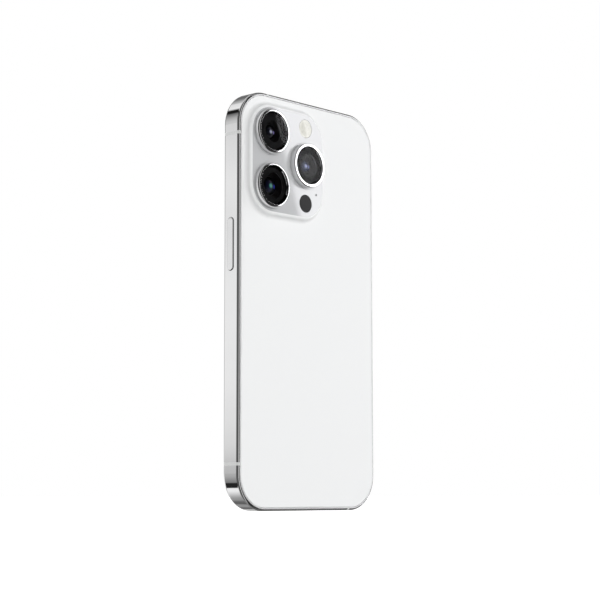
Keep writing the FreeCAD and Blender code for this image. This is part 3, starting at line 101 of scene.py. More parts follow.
def add_node(tree: bpy.types.NodeTree, kind: str, settings: Optional[dict] = None,
             **sockets) -> bpy.types.Node:
    """Adds one shader node with its settings and links.

    Args:
        tree: node tree that it goes into.
        kind: type name of the node, without its "ShaderNode" prefix.
        settings: properties of the node itself.
        sockets: inputs by name with underscores for spaces, or by number as i0, i1 and so on; each is
            a value, or an output socket to link from.

    Returns:
        The new node.
    """
    node = tree.nodes.new("ShaderNode" + kind)
    for name, value in (settings or {}).items():
        setattr(node, name, value)
    for name, value in sockets.items():
        key = int(name[1:]) if name[1:].isdigit() else name.replace("_", " ")
        if isinstance(value, bpy.types.NodeSocket):
            tree.links.new(value, node.inputs[key])
        else:
            node.inputs[key].default_value = value
    return node


def set_ramp(node: bpy.types.Node, stops: Sequence[Tuple[float, Tuple[float, ...]]]) -> None:
    """Gives a colour ramp its stops.

    Args:
        node: the Color Ramp node.
        stops: position and linear colour of each stop, in rising order.
    """
    elements = node.color_ramp.elements
    while len(elements) > 1:
        elements.remove(elements[-1])
    elements[0].position, elements[0].color = stops[0]
    for position, colour in stops[1:]:
        elements.new(position).color = colour


# ------------------------------------------------------------------ finishes

class Grain(Enum):
    """How a finish varies over its surface."""

    MOTTLED = "mottled"   # clouds, as on castings, mouldings and polished metal
    BRUSHED = "brushed"   # fine lines drawn out along the phone
    FLECKED = "flecked"   # small cells, as in sintered metal and sound mesh
    TURNED = "turned"     # rings about a centre, as on wound coils
    TRACKED = "tracked"   # rows and columns, as on circuit boards


@dataclass(frozen=True)
class Finish:
    """One real material and how its surface was made.

    Colours are sRGB hex, sizes are millimetres. The grain moves the colour between the two colours,
    and the roughness and the height of the surface by the amounts given. With rim, narrow steps
    that face along Y stay satin.
    """

    STEP_COSINES: ClassVar[Tuple[float, float]] = (0.93, 0.985)  # to the Y axis: satin starts, is full
    STEP_METALLIC: ClassVar[float] = 0.4
    STEP_ROUGHNESS: ClassVar[float] = 0.42

    name: str
    colour: str
    second: str
    roughness: float
    metallic: float = 0.0
    grain: Grain = Grain.MOTTLED
    size: float = 1.0
    uneven: float = 0.05
    bump: float = 0.002
    coat: float = 0.0
    specular: float = 0.5
    ior: float = 1.5
    clear: float = 0.0
    centre: Tuple[float, float, float] = (0.0, 0.0, 0.0)
    rim: bool = False

    def pattern(self, tree: bpy.types.NodeTree) -> bpy.types.NodeSocket:
        """Adds the grain's texture, read in object coordinates.

        Args:
            tree: the material's node tree.

        Returns:
            A socket that runs from 0 to 1 over the surface.
        """
        place = add_node(tree, "TexCoord").outputs["Object"]
        stretch = (1.0, 1.0, 0.04) if self.grain is Grain.BRUSHED else (1.0, 1.0, 1.0)
        each = tuple(part / (self.size * MM) for part in stretch)
        shift = tuple(-middle * MM * part for middle, part in zip(self.centre, each))
        placed = add_node(tree, "Mapping", i0=place, Location=shift, Scale=each).outputs[0]
        if self.grain is Grain.FLECKED:
            cells = add_node(tree, "TexVoronoi", Vector=placed, Scale=1.0)
            return cells.outputs["Distance"]
        if self.grain is Grain.TURNED:
            rings = add_node(tree, "TexWave", {"wave_type": "RINGS", "rings_direction": "Y"},
                             Vector=placed, Scale=0.5, Distortion=0.0)
            return rings.outputs["Fac"]
        if self.grain is Grain.TRACKED:
            rows = add_node(tree, "TexBrick", Vector=placed, Scale=1.0, Mortar_Size=0.06,
                            Color1=grey(0.2), Color2=grey(0.7))
            return rows.outputs["Fac"]
        clouds = add_node(tree, "TexNoise", Vector=placed, Scale=1.0, Detail=3.0, Roughness=0.55)
        return clouds.outputs["Fac"]

    def satin_rim(self, tree: bpy.types.NodeTree, shader: bpy.types.Node,
                  roughness: bpy.types.NodeSocket) -> bpy.types.NodeSocket:
        """Leaves the narrow steps that face along Y satin, as blasted steel beside polished steel.

        Args:
            tree: the material's node tree.
            shader: its Principled shader, whose metallic share is linked here.
            roughness: the roughness elsewhere.

        Returns:
            The roughness everywhere.
        """
        facing = add_node(tree, "SeparateXYZ", Vector=add_node(tree, "TexCoord").outputs["Normal"])
        along = add_node(tree, "Math", {"operation": "ABSOLUTE"}, i0=facing.outputs["Y"]).outputs[0]
        start, full = self.STEP_COSINES
        share = add_node(tree, "MapRange", i0=along, i1=start, i2=full).outputs[0]
        metal = add_node(tree, "MapRange", i0=share, i3=self.metallic, i4=self.STEP_METALLIC)
        tree.links.new(metal.outputs[0], shader.inputs["Metallic"])
        return add_node(tree, "Mix", {"data_type": "FLOAT"}, i0=share, i2=roughness,
                        i3=self.STEP_ROUGHNESS).outputs[0]

    def make(self) -> bpy.types.Material:
        """Makes the material, unless it has been made before.

        Returns:
            The material.
        """
        known = bpy.data.materials.get(self.name)
        if known is not None:
            return known
        material, tree, shader = blank_material(self.name)
        amount = self.pattern(tree)
        tint = add_node(tree, "Mix", {"data_type": "RGBA"}, i0=amount,
                        i6=linear(self.colour), i7=linear(self.second))
        tree.links.new(tint.outputs[2], shader.inputs["Base Color"])
        rough = add_node(tree, "MapRange", i0=amount, i1=0.2, i2=0.8,
                         i3=max(self.roughness - self.uneven, 0.0), i4=self.roughness + self.uneven)
        roughness = rough.outputs[0]
        if self.rim:
            roughness = self.satin_rim(tree, shader, roughness)
        else:
            shader.inputs["Metallic"].default_value = self.metallic
        tree.links.new(roughness, shader.inputs["Roughness"])
        if self.bump > 0.0:
            raised = add_node(tree, "Bump", Height=amount, Strength=1.0, Distance=self.bump * MM)
            tree.links.new(raised.outputs[0], shader.inputs["Normal"])
        shader.inputs["Coat Weight"].default_value = self.coat
        shader.inputs["Transmission Weight"].default_value = self.clear
        if self.metallic == 0.0:
            shader.inputs["Specular IOR Level"].default_value = self.specular
            shader.inputs["IOR"].default_value = self.ior
        return material


# Mirror-polished stainless steel: bright and neutral, with a barely uneven gloss.
POLISHED_STEEL = Finish("stainless_steel_mirror_polished", "#f4f4f4", "#ebebec", 0.045, 1.0,
                        size=14.0, uneven=0.012, bump=0.0, rim=True)
# The same steel on small pressed caps, buffed a little less evenly.
BUFFED_STEEL = Finish("stainless_steel_buffed_caps", "#f0f0f0", "#e6e6e7", 0.07, 1.0,
                      size=6.0, uneven=0.02, bump=0.0)
# Glass-filled nylon let into the band and polished flush: pale, waxy, a little darker than steel.
ANTENNA_NYLON = Finish("nylon_glass_filled_polished", "#e6e7e6", "#dddedd", 0.28,
                       size=0.5, uneven=0.05, bump=0.0008, coat=0.8)
# Etched aluminosilicate glass over white ink: milky, satin, no sharp reflections.
SATIN_GLASS = Finish("white_backed_glass_etched", "#fafbfb", "#f7f8f8", 0.42,
                     size=0.35, uneven=0.04, bump=0.0004, specular=0.45)
# The same glass left polished on the camera plateau: its white darkened to a cool grey as painted shade,
# under a strong clear gloss.
PLATEAU_GLASS_PAINTED_SHADE = Finish("white_backed_glass_polished_painted_shade", "#d0d1d2", "#cbccce", 0.03,
                     size=9.0, uneven=0.01, bump=0.0, ior=1.8)
# Polished lens ring steel.
RING_STEEL = Finish("stainless_steel_lens_ring_turned", "#f2f2f2", "#e8e8e9", 0.035, 1.0,
                    size=5.0, uneven=0.01, bump=0.0)
# Clear sapphire cover under an anti-reflection coating, which leaves it a faint, sharp reflection.
SAPPHIRE = Finish("sapphire_polished_coated", "#ffffff", "#fcfdff", 0.0, size=8.0, uneven=0.0,
                  bump=0.0, ior=1.16, clear=1.0)
# Black ceramic ink printed under the rim of a cover.
BLACK_INK = Finish("ceramic_ink_black_printed", "#060607", "#0a0a0b", 0.45, size=0.3, uneven=0.05,
                   bump=0.0005, specular=0.08)
# Black anodised aluminium, turned: dull, with fine rings.
BLACK_ANODISED = Finish("aluminium_black_anodised_turned", "#060608", "#0d0d0f", 0.4, 0.0,
                        size=0.25, uneven=0.1, bump=0.001, specular=0.08)
# Infrared-passing glass over the depth sensor: near black with a gloss.
SENSOR_GLASS = Finish("infrared_pass_glass_coated", "#0a0a0b", "#0d0c0e", 0.03, size=3.0,
                      uneven=0.01, bump=0.0, ior=1.2)
# Toughened cover glass of the display.
FRONT_GLASS = Finish("aluminosilicate_glass_polished", "#ffffff", "#fafcff", 0.0, size=20.0,
                     uneven=0.0, bump=0.0, ior=1.51, clear=1.0)
# Organic light-emitting panel, off: blue-black and even.
DISPLAY_OFF = Finish("display_panel_switched_off", "#060709", "#08090d", 0.25, size=12.0,
                     uneven=0.02, bump=0.0)
# Sandblasted die-cast camera housings.
DIE_CAST = Finish("zinc_die_cast_blasted", "#6a6a6c", "#57575a", 0.42, 1.0, size=0.25, uneven=0.08,
                  bump=0.006)
# Moulded black liquid-crystal polymer of modules and switch cases.
BLACK_POLYMER = Finish("polymer_black_moulded", "#1a1a1b", "#232324", 0.5, size=0.4, uneven=0.08,
                       bump=0.004)
# Woven black steel mesh behind the sound holes, drawn as coarse cells.
SOUND_MESH = Finish("steel_mesh_black_woven", "#0c0c0c", "#3b3b3b", 0.45, 1.0, Grain.FLECKED,
                    size=0.16, uneven=0.1, bump=0.03)
# Bright machine screws.
SCREW_STEEL = Finish("steel_screw_nickel_plated", "#d6d5d2", "#c4c3c0", 0.16, 1.0, size=0.3,
                     uneven=0.05, bump=0.001)
# Gold flashed contacts.
GOLD = Finish("gold_plated_copper", "#e6bd6a", "#d8ab52", 0.2, 1.0, size=0.3, uneven=0.06,
              bump=0.001)
# Stamped nickel-plated steel sheet: brushed along its rolling direction.
SHEET_STEEL = Finish("steel_sheet_nickel_plated", "#c9c9c8", "#a9a9a8", 0.3, 1.0, Grain.BRUSHED,
                     size=0.2, uneven=0.1, bump=0.002)
# Bead-blasted aluminium plate: soft grey sparkle.
BLASTED_PLATE = Finish("aluminium_sheet_bead_blasted", "#c2c4c6", "#aeb0b3", 0.42, 1.0, size=0.15,
                       uneven=0.08, bump=0.005)
# Enamelled copper wound flat, turn beside turn.
COPPER_COIL = Finish("copper_enamelled_wound", "#c9783f", "#7c3f1d", 0.3, 1.0, Grain.TURNED,
                     size=0.9, uneven=0.08, bump=0.05, centre=(0.0, 0.0, 73.75))
# Nickel-plated neodymium magnets.
MAGNETS = Finish("neodymium_nickel_plated", "#bdbcb8", "#a7a6a2", 0.22, 1.0, size=0.8, uneven=0.05,
                 bump=0.002)
# Dark sintered ferrite sheet.
FERRITE = Finish("ferrite_sheet_sintered", "#26262a", "#323236", 0.62, 0.0, Grain.FLECKED,
                 size=0.3, uneven=0.1, bump=0.006)
# Black film wrapped round the battery pouch.
POUCH = Finish("polyester_film_black_wrapped", "#151517", "#202023", 0.36, size=3.0, uneven=0.12,
               bump=0.06)
# Sintered tungsten block.
TUNGSTEN = Finish("tungsten_sintered", "#6b6c70", "#54555a", 0.46, 1.0, Grain.FLECKED, size=0.2,
                  uneven=0.08, bump=0.005)
# Dark blue-black solder mask with rows of pads.
CIRCUIT = Finish("epoxy_board_solder_masked", "#0f1a22", "#2b3a3e", 0.34, 0.0, Grain.TRACKED,
                 size=1.6, uneven=0.1, bump=0.02)
# Black die-cut adhesive foam.
ADHESIVE = Finish("acrylic_foam_adhesive_black", "#141414", "#1e1e1e", 0.8, size=0.2, uneven=0.08,
                  bump=0.01)


@dataclass(frozen=True)
class LensPaintedFlares:
    """Front lens element: black depths with painted reflections of its coatings, in teal, blue and
    violet.

    The coloured flares are painted reflections, rings and spots about the element's own middle,
    worked out from the distance to it, so they stay with the glass from every side.
    """

    name: str
    centre: Tuple[float, float]
    radius: float
    glow_and_flare_tints: Tuple[str, str, str]
    depths: str = "#050507"
    roughness: float = 0.02
    ior: float = 1.2
    # Each tint's spot of painted reflected light, first a broad glow and then two small flares: its
    #     place along X and Z, full radius and faded radius, all as shares of the lens radius, and how
    #     much of what lies under it it covers.
    GLOW_AND_FLARE_SPOTS: ClassVar[Tuple[Tuple[float, ...], ...]] = (
        (0.0, 0.0, 0.1, 0.95, 0.7), (-0.08, 0.02, 0.05, 0.36, 1.0), (-0.7, 0.0, 0.06, 0.34, 1.0))

    def painted_light_spot(self, tree: bpy.types.NodeTree, side: float, up: float, inner: float,
             outer: float) -> bpy.types.NodeSocket:
        """Adds a soft spot of painted reflected light: 1 within the inner radius of its middle, falling
        smoothly to 0.

        Args:
            tree: the material's node tree.
            side: middle of the spot from the lens axis along +X, as a share of the lens radius.
            up: the same along +Z.
            inner: radius of the full spot, as a share of the lens radius.
            outer: radius where it has faded out.

        Returns:
            A socket from 0 to 1.
        """
        x, z = self.centre
        middle = ((x + side * self.radius) * MM, 0.0, (z + up * self.radius) * MM)
        place = add_node(tree, "TexCoord").outputs["Object"]
        flat = add_node(tree, "VectorMath", {"operation": "MULTIPLY"}, i0=place, i1=(1.0, 0.0, 1.0))
        away = add_node(tree, "VectorMath", {"operation": "DISTANCE"}, i0=flat.outputs[0], i1=middle)
        return add_node(tree, "MapRange", {"interpolation_type": "SMOOTHSTEP"},
                        i0=away.outputs["Value"], i1=inner * self.radius * MM,
                        i2=outer * self.radius * MM, i3=1.0, i4=0.0).outputs[0]

    def make(self) -> bpy.types.Material:
        """Makes the material: the depths with each painted reflection of the coatings laid over them in
        turn.

        Returns:
            The material.
        """
        material, tree, shader = blank_material(self.name)
        colour = linear(self.depths)
        for tint, (side, up, inner, outer, weight) in zip(self.glow_and_flare_tints, self.GLOW_AND_FLARE_SPOTS):
            spot = self.painted_light_spot(tree, side, up, inner, outer)
            share = add_node(tree, "Math", {"operation": "MULTIPLY"}, i0=spot, i1=weight)
            mixed = add_node(tree, "Mix", {"data_type": "RGBA"}, i0=share.outputs[0], i6=colour,
                             i7=linear(tint))
            colour = mixed.outputs[2]
        tree.links.new(colour, shader.inputs["Base Color"])
        shader.inputs["Roughness"].default_value = self.roughness
        shader.inputs["IOR"].default_value = self.ior
        return material


# ------------------------------------------------------------------ sections, outlines and pieces

class Plane(Enum):
    """How a piece lies: the axes of its outline, and the axis that its section rises along."""

    BACK = (0, 2, 1)   # outline in X and Z, rising along Y
    SIDE = (1, 2, 0)   # outline in Y and Z, rising along X


@dataclass(frozen=True)
class Outline:
    """Closed line that a section is carried along.

    Attributes:
        points: (n, 2) points of the line, in millimetres.
        outward: (n, 2) directions straight out from it.
    """

    points: np.ndarray
    outward: np.ndarray

    @classmethod
    def round_rectangle(cls, low: Sequence[float], high: Sequence[float], radius: float,
                        steps: int = 20) -> "Outline":
        """Rectangle with round corners: each corner is a quarter turn about its own centre.

        Args:
            low: lowest corner.
            high: highest corner.
            radius: corner radius.
            steps: facets in each corner.

        Returns:
            The outline, counter-clockwise.
        """
        turn = np.linspace(0.0, math.pi / 2, steps + 1)
        angle = np.concatenate([turn + quarter * math.pi / 2 for quarter in range(4)])
        outward = np.stack([np.cos(angle), np.sin(angle)], axis=1)
        (left, bottom), (right, top) = low, high
        xs = np.repeat([right - radius, left + radius, left + radius, right - radius], steps + 1)
        ys = np.repeat([top - radius, top - radius, bottom + radius, bottom + radius], steps + 1)
        return cls(np.stack([xs, ys], axis=1) + radius * outward, outward)

    @classmethod
    def about(cls, centre: Tuple[float, float], steps: int = 128) -> "Outline":
        """A point that sections turn about, so that their distances are radii.

        Args:
            centre: the axis, across the plane.
            steps: facets in the whole turn.

        Returns:
            The outline, all of whose points are the centre.
        """
        angle = np.arange(steps) * (2 * math.pi / steps)
        outward = np.stack([np.cos(angle), np.sin(angle)], axis=1)
        return cls(np.zeros_like(outward) + np.array(centre), outward)

    def offset(self, distance: float) -> np.ndarray:
        """The line moved straight out by a distance, as (n, 2) points."""
        return self.points + distance * self.outward


def section(corners: Sequence[Corner], closed: bool = False, facets: int = 6) -> List[np.ndarray]:
    """Turns a cornered line into straight and rounded strips.

    A corner of radius r becomes the arc that touches both of its sides: it starts and ends
    r·tan(turn / 2) from the corner, and its points lie r from the arc's centre. A strip's normal is
    its direction turned a quarter turn clockwise, so the solid lies on the left of the line.

    Args:
        corners: distance out, height and rounding radius of each corner, in order.
        closed: whether the last corner joins the first.
        facets: facets in a rounding of a quarter turn.

    Returns:
        One (k, 4) array a strip: distance out, height, and the normal's two parts.
    """
    points = np.array([corner[:2] for corner in corners], float)
    count = len(corners)
    strips: List[np.ndarray] = []
    starts, ends = points.copy(), points.copy()
    arcs: Dict[int, np.ndarray] = {}
    for i, (_, _, radius) in enumerate(corners):
        if radius <= 0.0 or (not closed and i in (0, count - 1)):
            continue
        into = points[i] - points[i - 1]
        away = points[(i + 1) % count] - points[i]
        into, away = into / np.hypot(*into), away / np.hypot(*away)
        cross = into[0] * away[1] - into[1] * away[0]
        turn = math.atan2(cross, float(into @ away))
        reach = radius * math.tan(abs(turn) / 2)
        starts[i], ends[i] = points[i] - into * reach, points[i] + away * reach
        side = math.copysign(1.0, turn)
        middle = starts[i] + side * radius * np.array([-into[1], into[0]])
        first = math.atan2(*(starts[i] - middle)[::-1])
        angle = first + np.linspace(0.0, turn, max(2, round(facets * abs(turn) / (math.pi / 2))) + 1)
        ray = np.stack([np.cos(angle), np.sin(angle)], axis=1)
        arcs[i] = np.hstack([middle + radius * ray, side * ray])
    for i in range(count):
        if i in arcs:
            strips.append(arcs[i])
        follows = (i + 1) % count
        if follows == 0 and not closed:
            break
        run = starts[follows] - ends[i]
        length = np.hypot(*run)
        if length > SHORTEST:
            normal = np.array([run[1], -run[0]]) / length
            strips.append(np.array([[*ends[i], *normal], [*starts[follows], *normal]]))
    return strips


class Piece:
    """One visible piece: faces gathered with their own normals, then welded into a closed mesh."""

    def __init__(self, name: str, plane: Plane = Plane.BACK, flip: float = 1.0) -> None:
        """Starts an empty piece.

        Args:
            name: name of the object.
            plane: how its outlines lie.
            flip: -1 where its sections rise the other way, as on the display side.
        """
        self.name = name
        self.plane = plane
        self.flip = flip
        self.corners: List[np.ndarray] = []
        self.normals: List[np.ndarray] = []
        self.slots: List[np.ndarray] = []

    def _place(self, flat: np.ndarray, height: np.ndarray) -> np.ndarray:
        """Puts plane coordinates and a height into X, Y and Z.

        Args:
            flat: (..., 2) coordinates along the plane's axes.
            height: (...) coordinate along the rising axis.

        Returns:
            (..., 3) coordinates.
        """
        across, along, up = self.plane.value
        placed = np.empty(flat.shape[:-1] + (3,))
        placed[..., across], placed[..., along] = flat[..., 0], flat[..., 1]
        placed[..., up] = self.flip * height
        return placed

    def add_faces(self, corners: np.ndarray, normals: np.ndarray, slot: int) -> None:
        """Adds faces with their own normals.

        Args:
            corners: (n, 4, 3) corners, in millimetres.
            normals: their normals, in the same order.
            slot: material slot of them all.
        """
        self.corners.append(corners)
        self.normals.append(normals)
        self.slots.append(np.full(len(corners), slot, np.int32))

    def carry(self, outline: Outline, strips: Sequence[np.ndarray], slot: int = 0) -> "Piece":
        """Carries section strips along an outline.

        A point is the outline's point plus the strip's distance times the outward direction, at the
        strip's height; its normal is made of the same two directions.

        Args:
            outline: the closed line.
            strips: from section().
            slot: material slot.

        Returns:
            This piece.
        """
        points = np.vstack([outline.points, outline.points[:1]])
        outward = np.vstack([outline.outward, outline.outward[:1]])
        for strip in strips:
            flat = points[None] + strip[:, None, 0:1] * outward[None]
            lean = strip[:, None, 2:3] * outward[None]
            tall = np.broadcast_to(strip[:, None, 1], flat.shape[:2])
            rise = np.broadcast_to(strip[:, None, 3], flat.shape[:2])
            self.add_grid(self._place(flat, tall), self._place(lean, rise), slot)
        return self

    def add_grid(self, points: np.ndarray, normals: np.ndarray, slot: int = 0) -> None:
        """Adds the quads of a grid of points.

        Args:
            points: (m, n, 3) points, in millimetres.
            normals: their normals.
            slot: material slot.
        """
        def quads(grid: np.ndarray) -> np.ndarray:
            """The four corners of each cell, as (cells, 4, 3)."""
            cells = [grid[:-1, :-1], grid[1:, :-1], grid[1:, 1:], grid[:-1, 1:]]
            return np.stack(cells, axis=2).reshape(-1, 4, 3)
        self.add_faces(quads(points), quads(normals), slot)

    def panel(self, rim: np.ndarray, holes: Sequence[np.ndarray], height: float, facing: float,
              slot: int = 0) -> "Piece":
        """Fills a flat area at one height between a rim and its holes.

        Args:
            rim: (n, 2) outer line.
            holes: inner lines.
            height: height of the area.
            facing: 1 where it faces the way the section rises, else -1.
            slot: material slot.

        Returns:
            This piece.
        """
        loops = [rim, *holes]
        listed = [[Vector((x, y, 0.0)) for x, y in loop] for loop in loops]
        triangles = np.array(tessellate_polygon(listed))
        flat = np.vstack(loops)
        placed = self._place(flat, np.full(len(flat), height))
        faces = placed[triangles][:, [0, 1, 2, 2]]
        normal = self._place(np.zeros((1, 2)), np.array([facing]))[0]
        self.add_faces(faces, np.broadcast_to(normal, faces.shape), slot)
        return self

    def build(self, body: str, slot: str, finishes: Sequence, replaces: Sequence[str] = ()
              ) -> bpy.types.Object:
        """Welds the faces and makes the object.

        Corners at the same place, to 0.1 micrometre, become one vertex. A face whose corners turn
        against its normals is turned round, and corners that fall together are left out, so a pole
        closes with triangles.

        Args:
            body: CAD body that the piece rides on.
            slot: name of a material slot, not used.
            finishes: finish of each material slot.
            replaces: CAD nodes that it stands for.

        Returns:
            The object.
        """
        corners, normals = np.concatenate(self.corners) * MM, np.concatenate(self.normals)
        slots = np.concatenate(self.slots)
        rounded = np.round(corners.reshape(-1, 3) / WELD).astype(np.int64)
        _, first, index = np.unique(rounded, axis=0, return_index=True, return_inverse=True)
        vertices = corners.reshape(-1, 3)[first]
        faces = index.reshape(-1, 4)
        turned = np.cross(corners[:, 2] - corners[:, 0], corners[:, 3] - corners[:, 1])
        wrong = np.einsum("ij,ij->i", turned, normals.sum(axis=1)) < 0.0
        faces[wrong], normals[wrong] = faces[wrong][:, ::-1], normals[wrong][:, ::-1]
        kept = faces != np.roll(faces, -1, axis=1)
        whole = kept.sum(axis=1) >= 3
        faces, normals, kept, slots = faces[whole], normals[whole], kept[whole], slots[whole]
        sizes = kept.sum(axis=1)
        mesh = bpy.data.meshes.new(self.name)
        mesh.vertices.add(len(vertices))
        mesh.vertices.foreach_set("co", vertices.ravel())
        mesh.loops.add(int(sizes.sum()))
        mesh.loops.foreach_set("vertex_index", faces[kept].astype(np.int32))
        mesh.polygons.add(len(sizes))
        mesh.polygons.foreach_set("loop_start", (np.cumsum(sizes) - sizes).astype(np.int32))
        mesh.polygons.foreach_set("material_index", slots)
        mesh.update(calc_edges=True)
        mesh.polygons.foreach_set("use_smooth", np.ones(len(sizes), bool))
        if mesh.validate():
            LOG.warning("%s: faces were mended", self.name)
        mesh.normals_split_custom_set(normals[kept])
        piece = bpy.data.objects.new(self.name, mesh)
        bpy.context.scene.collection.objects.link(piece)
        for finish in finishes:
            mesh.materials.append(finish.make())
        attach(piece, body)
        if replaces:
            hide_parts(*replaces)
        LOG.info("%s: %d faces on %s", self.name, len(sizes), body)
        return piece


@dataclass(frozen=True)
class Span:
    """Box of a CAD node, in millimetres."""

    low: np.ndarray
    high: np.ndarray

    @classmethod
    def of(cls, node: str) -> "Span":
        """Box of the named CAD node at rest."""
        low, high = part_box(node)
        return cls(np.array(low) / MM, np.array(high) / MM)

    @property
    def middle(self) -> np.ndarray:
        """Middle of the box."""
        return (self.low + self.high) / 2

    @property
    def axis(self) -> Tuple[float, float]:
        """Where the axis of a round part that faces along Y crosses X and Z."""
        return float(self.middle[0]), float(self.middle[2])

    @property
    def radius(self) -> float:
        """Radius of such a part."""
        return float(self.high[0] - self.low[0]) / 2

    @property
    def face(self) -> Tuple[np.ndarray, np.ndarray]:
        """Lowest and highest corner in X and Z."""
        return self.low[[0, 2]], self.high[[0, 2]]


# ------------------------------------------------------------------ back glass and plateau

@dataclass
class BackGlass:
    """White back glass with the camera plateau raised from it in one flowing piece."""

    thickness: float = 0.8
    edge: float = 0.25            # rounding of the sheet's rim
    flat: float = 1.0             # width of the strip that runs in from that rounding
    corner: float = 11.65
    rise: float = 1.95            # plateau above the sheet
    outer_corner: float = 11.1    # corner radius of the plateau
    margin: float = 2.2           # from the rings to the plateau's wall
    lean: float = 0.25            # half of how far the wall's side leans
    foot: float = 1.4             # radius of the hollow arc
    brow: float = 1.15            # radius of the round arc
    approach: float = 2.5         # straight runs that the arcs start from, left out of the mesh
    ring_hole: float = 7.35
    holes: Dict[str, float] = field(default_factory=lambda: {
        "flash_window": 3.35, "depth_sensor_window": 3.25, "rear_microphone": 0.35})
    hole_bevel: float = 0.05
    collar: float = 0.5           # width of the low bead round each ring
    collar_height: float = 0.13
    collar_slope: float = 0.06
    collar_roll: float = 0.08
    play: float = 0.04            # gap between the bead and the ring
    play_roll: float = 0.03

    def build(self) -> bpy.types.Object:
        """Builds the glass: satin all over but for the polished top of the plateau, greyed as painted
        shade.

        The flank of the plateau is one curve carried round its outline: a hollow arc at the foot, a
        short leaning side and a round arc at the brow, each touching the next.

        Returns:
            The object.
        """
        glass = Span.of("back_glass")
        rings = [Span.of(f"{name}_lens_ring") for name in Camera.NAMES]
        top = glass.high[1]
        face = top - self.rise
        back = face - self.thickness
        ceiling = top - self.thickness
        rim = Outline.round_rectangle(*glass.face, self.corner, 32)
        low = np.min([ring.low for ring in rings], axis=0)[[0, 2]] - self.margin
        high = np.max([ring.high for ring in rings], axis=0)[[0, 2]] + self.margin
        wall = Outline.round_rectangle(low, high, self.outer_corner, 40)
        piece = Piece("back_glass_shell")
        piece.carry(rim, section([(0.0, back, 0.0), (0.0, face, self.edge),
                                  (-self.flat, face, 0.0)], facets=8))
        flank = section([(self.approach, face, 0.0), (self.lean, face, self.foot),
                         (-self.lean, top, self.brow), (-self.approach, top, 0.0)], facets=26)
        foot, brow = [strip for strip in flank if len(strip) > 2]
        piece.carry(wall, [foot, np.vstack([foot[-1:], brow[:1]]), brow])
        piece.panel(rim.offset(-self.flat), [wall.offset(foot[0, 0])], face, 1.0)
        holes: List[np.ndarray] = []
        outlines: List[np.ndarray] = []
        for ring in rings:
            self._seat(piece, ring, top, holes, outlines)
        for node, radius in self.holes.items():
            self._drill(piece, Span.of(node), radius, top, holes, outlines)
        # Polished top of the plateau in slot 1: its white greyed as painted shade.
        piece.panel(wall.offset(brow[-1, 0]), holes, top, 1.0, 1)
        piece.carry(wall, section([(-self.thickness, ceiling, 0.0), (-self.thickness, back, 0.0)]))
        piece.panel(wall.offset(-self.thickness), outlines, ceiling, -1.0)
        piece.panel(rim.offset(0.0), [wall.offset(-self.thickness)], back, -1.0)
        return piece.build(PHONE, "frosted_back_glass", (SATIN_GLASS, PLATEAU_GLASS_PAINTED_SHADE), ("back_glass",))

    def _seat(self, piece: Piece, ring: Span, top: float, holes: List[np.ndarray],
              outlines: List[np.ndarray]) -> None:
        """Adds a lens ring's opening, with a low bead round it.

        Args:
            piece: the glass.
            ring: box of the lens ring.
            top: height of the plateau.
            holes: lines at the plateau's top, added to.
            outlines: lines at its underside, added to.
        """
        turn = Outline.about(ring.axis)
        outer, inner = ring.radius + self.collar, ring.radius + self.play
        crest = top + self.collar_height
        piece.carry(turn, section([(outer, top, 0.0),
                                   (outer - self.collar_slope, crest, self.collar_roll),
                                   (inner, crest, self.play_roll), (inner, top, 0.0),
                                   (self.ring_hole, top, 0.0),
                                   (self.ring_hole, top - self.thickness, 0.0)]), 1)
        holes.append(turn.offset(outer))
        outlines.append(turn.offset(self.ring_hole))

    def _drill(self, piece: Piece, span: Span, radius: float, top: float,
               holes: List[np.ndarray], outlines: List[np.ndarray]) -> None:
        """Adds the wall of a round hole through the plateau, with a hair-fine bevel at its mouth.

        Args:
            piece: the glass.
            span: box of what sits in the hole.
            radius: radius of the hole.
            top: height of the plateau.
            holes: lines at the plateau's top, added to.
            outlines: lines at its underside, added to.
        """
        turn = Outline.about(span.axis, 72)
        mouth = radius + self.hole_bevel
        piece.carry(turn, section([(mouth, top, 0.0), (radius, top - self.hole_bevel, 0.0),
                                   (radius, top - self.thickness, 0.0)]), 1)
        holes.append(turn.offset(mouth))
        outlines.append(turn.offset(radius))


# ------------------------------------------------------------------ rear cameras

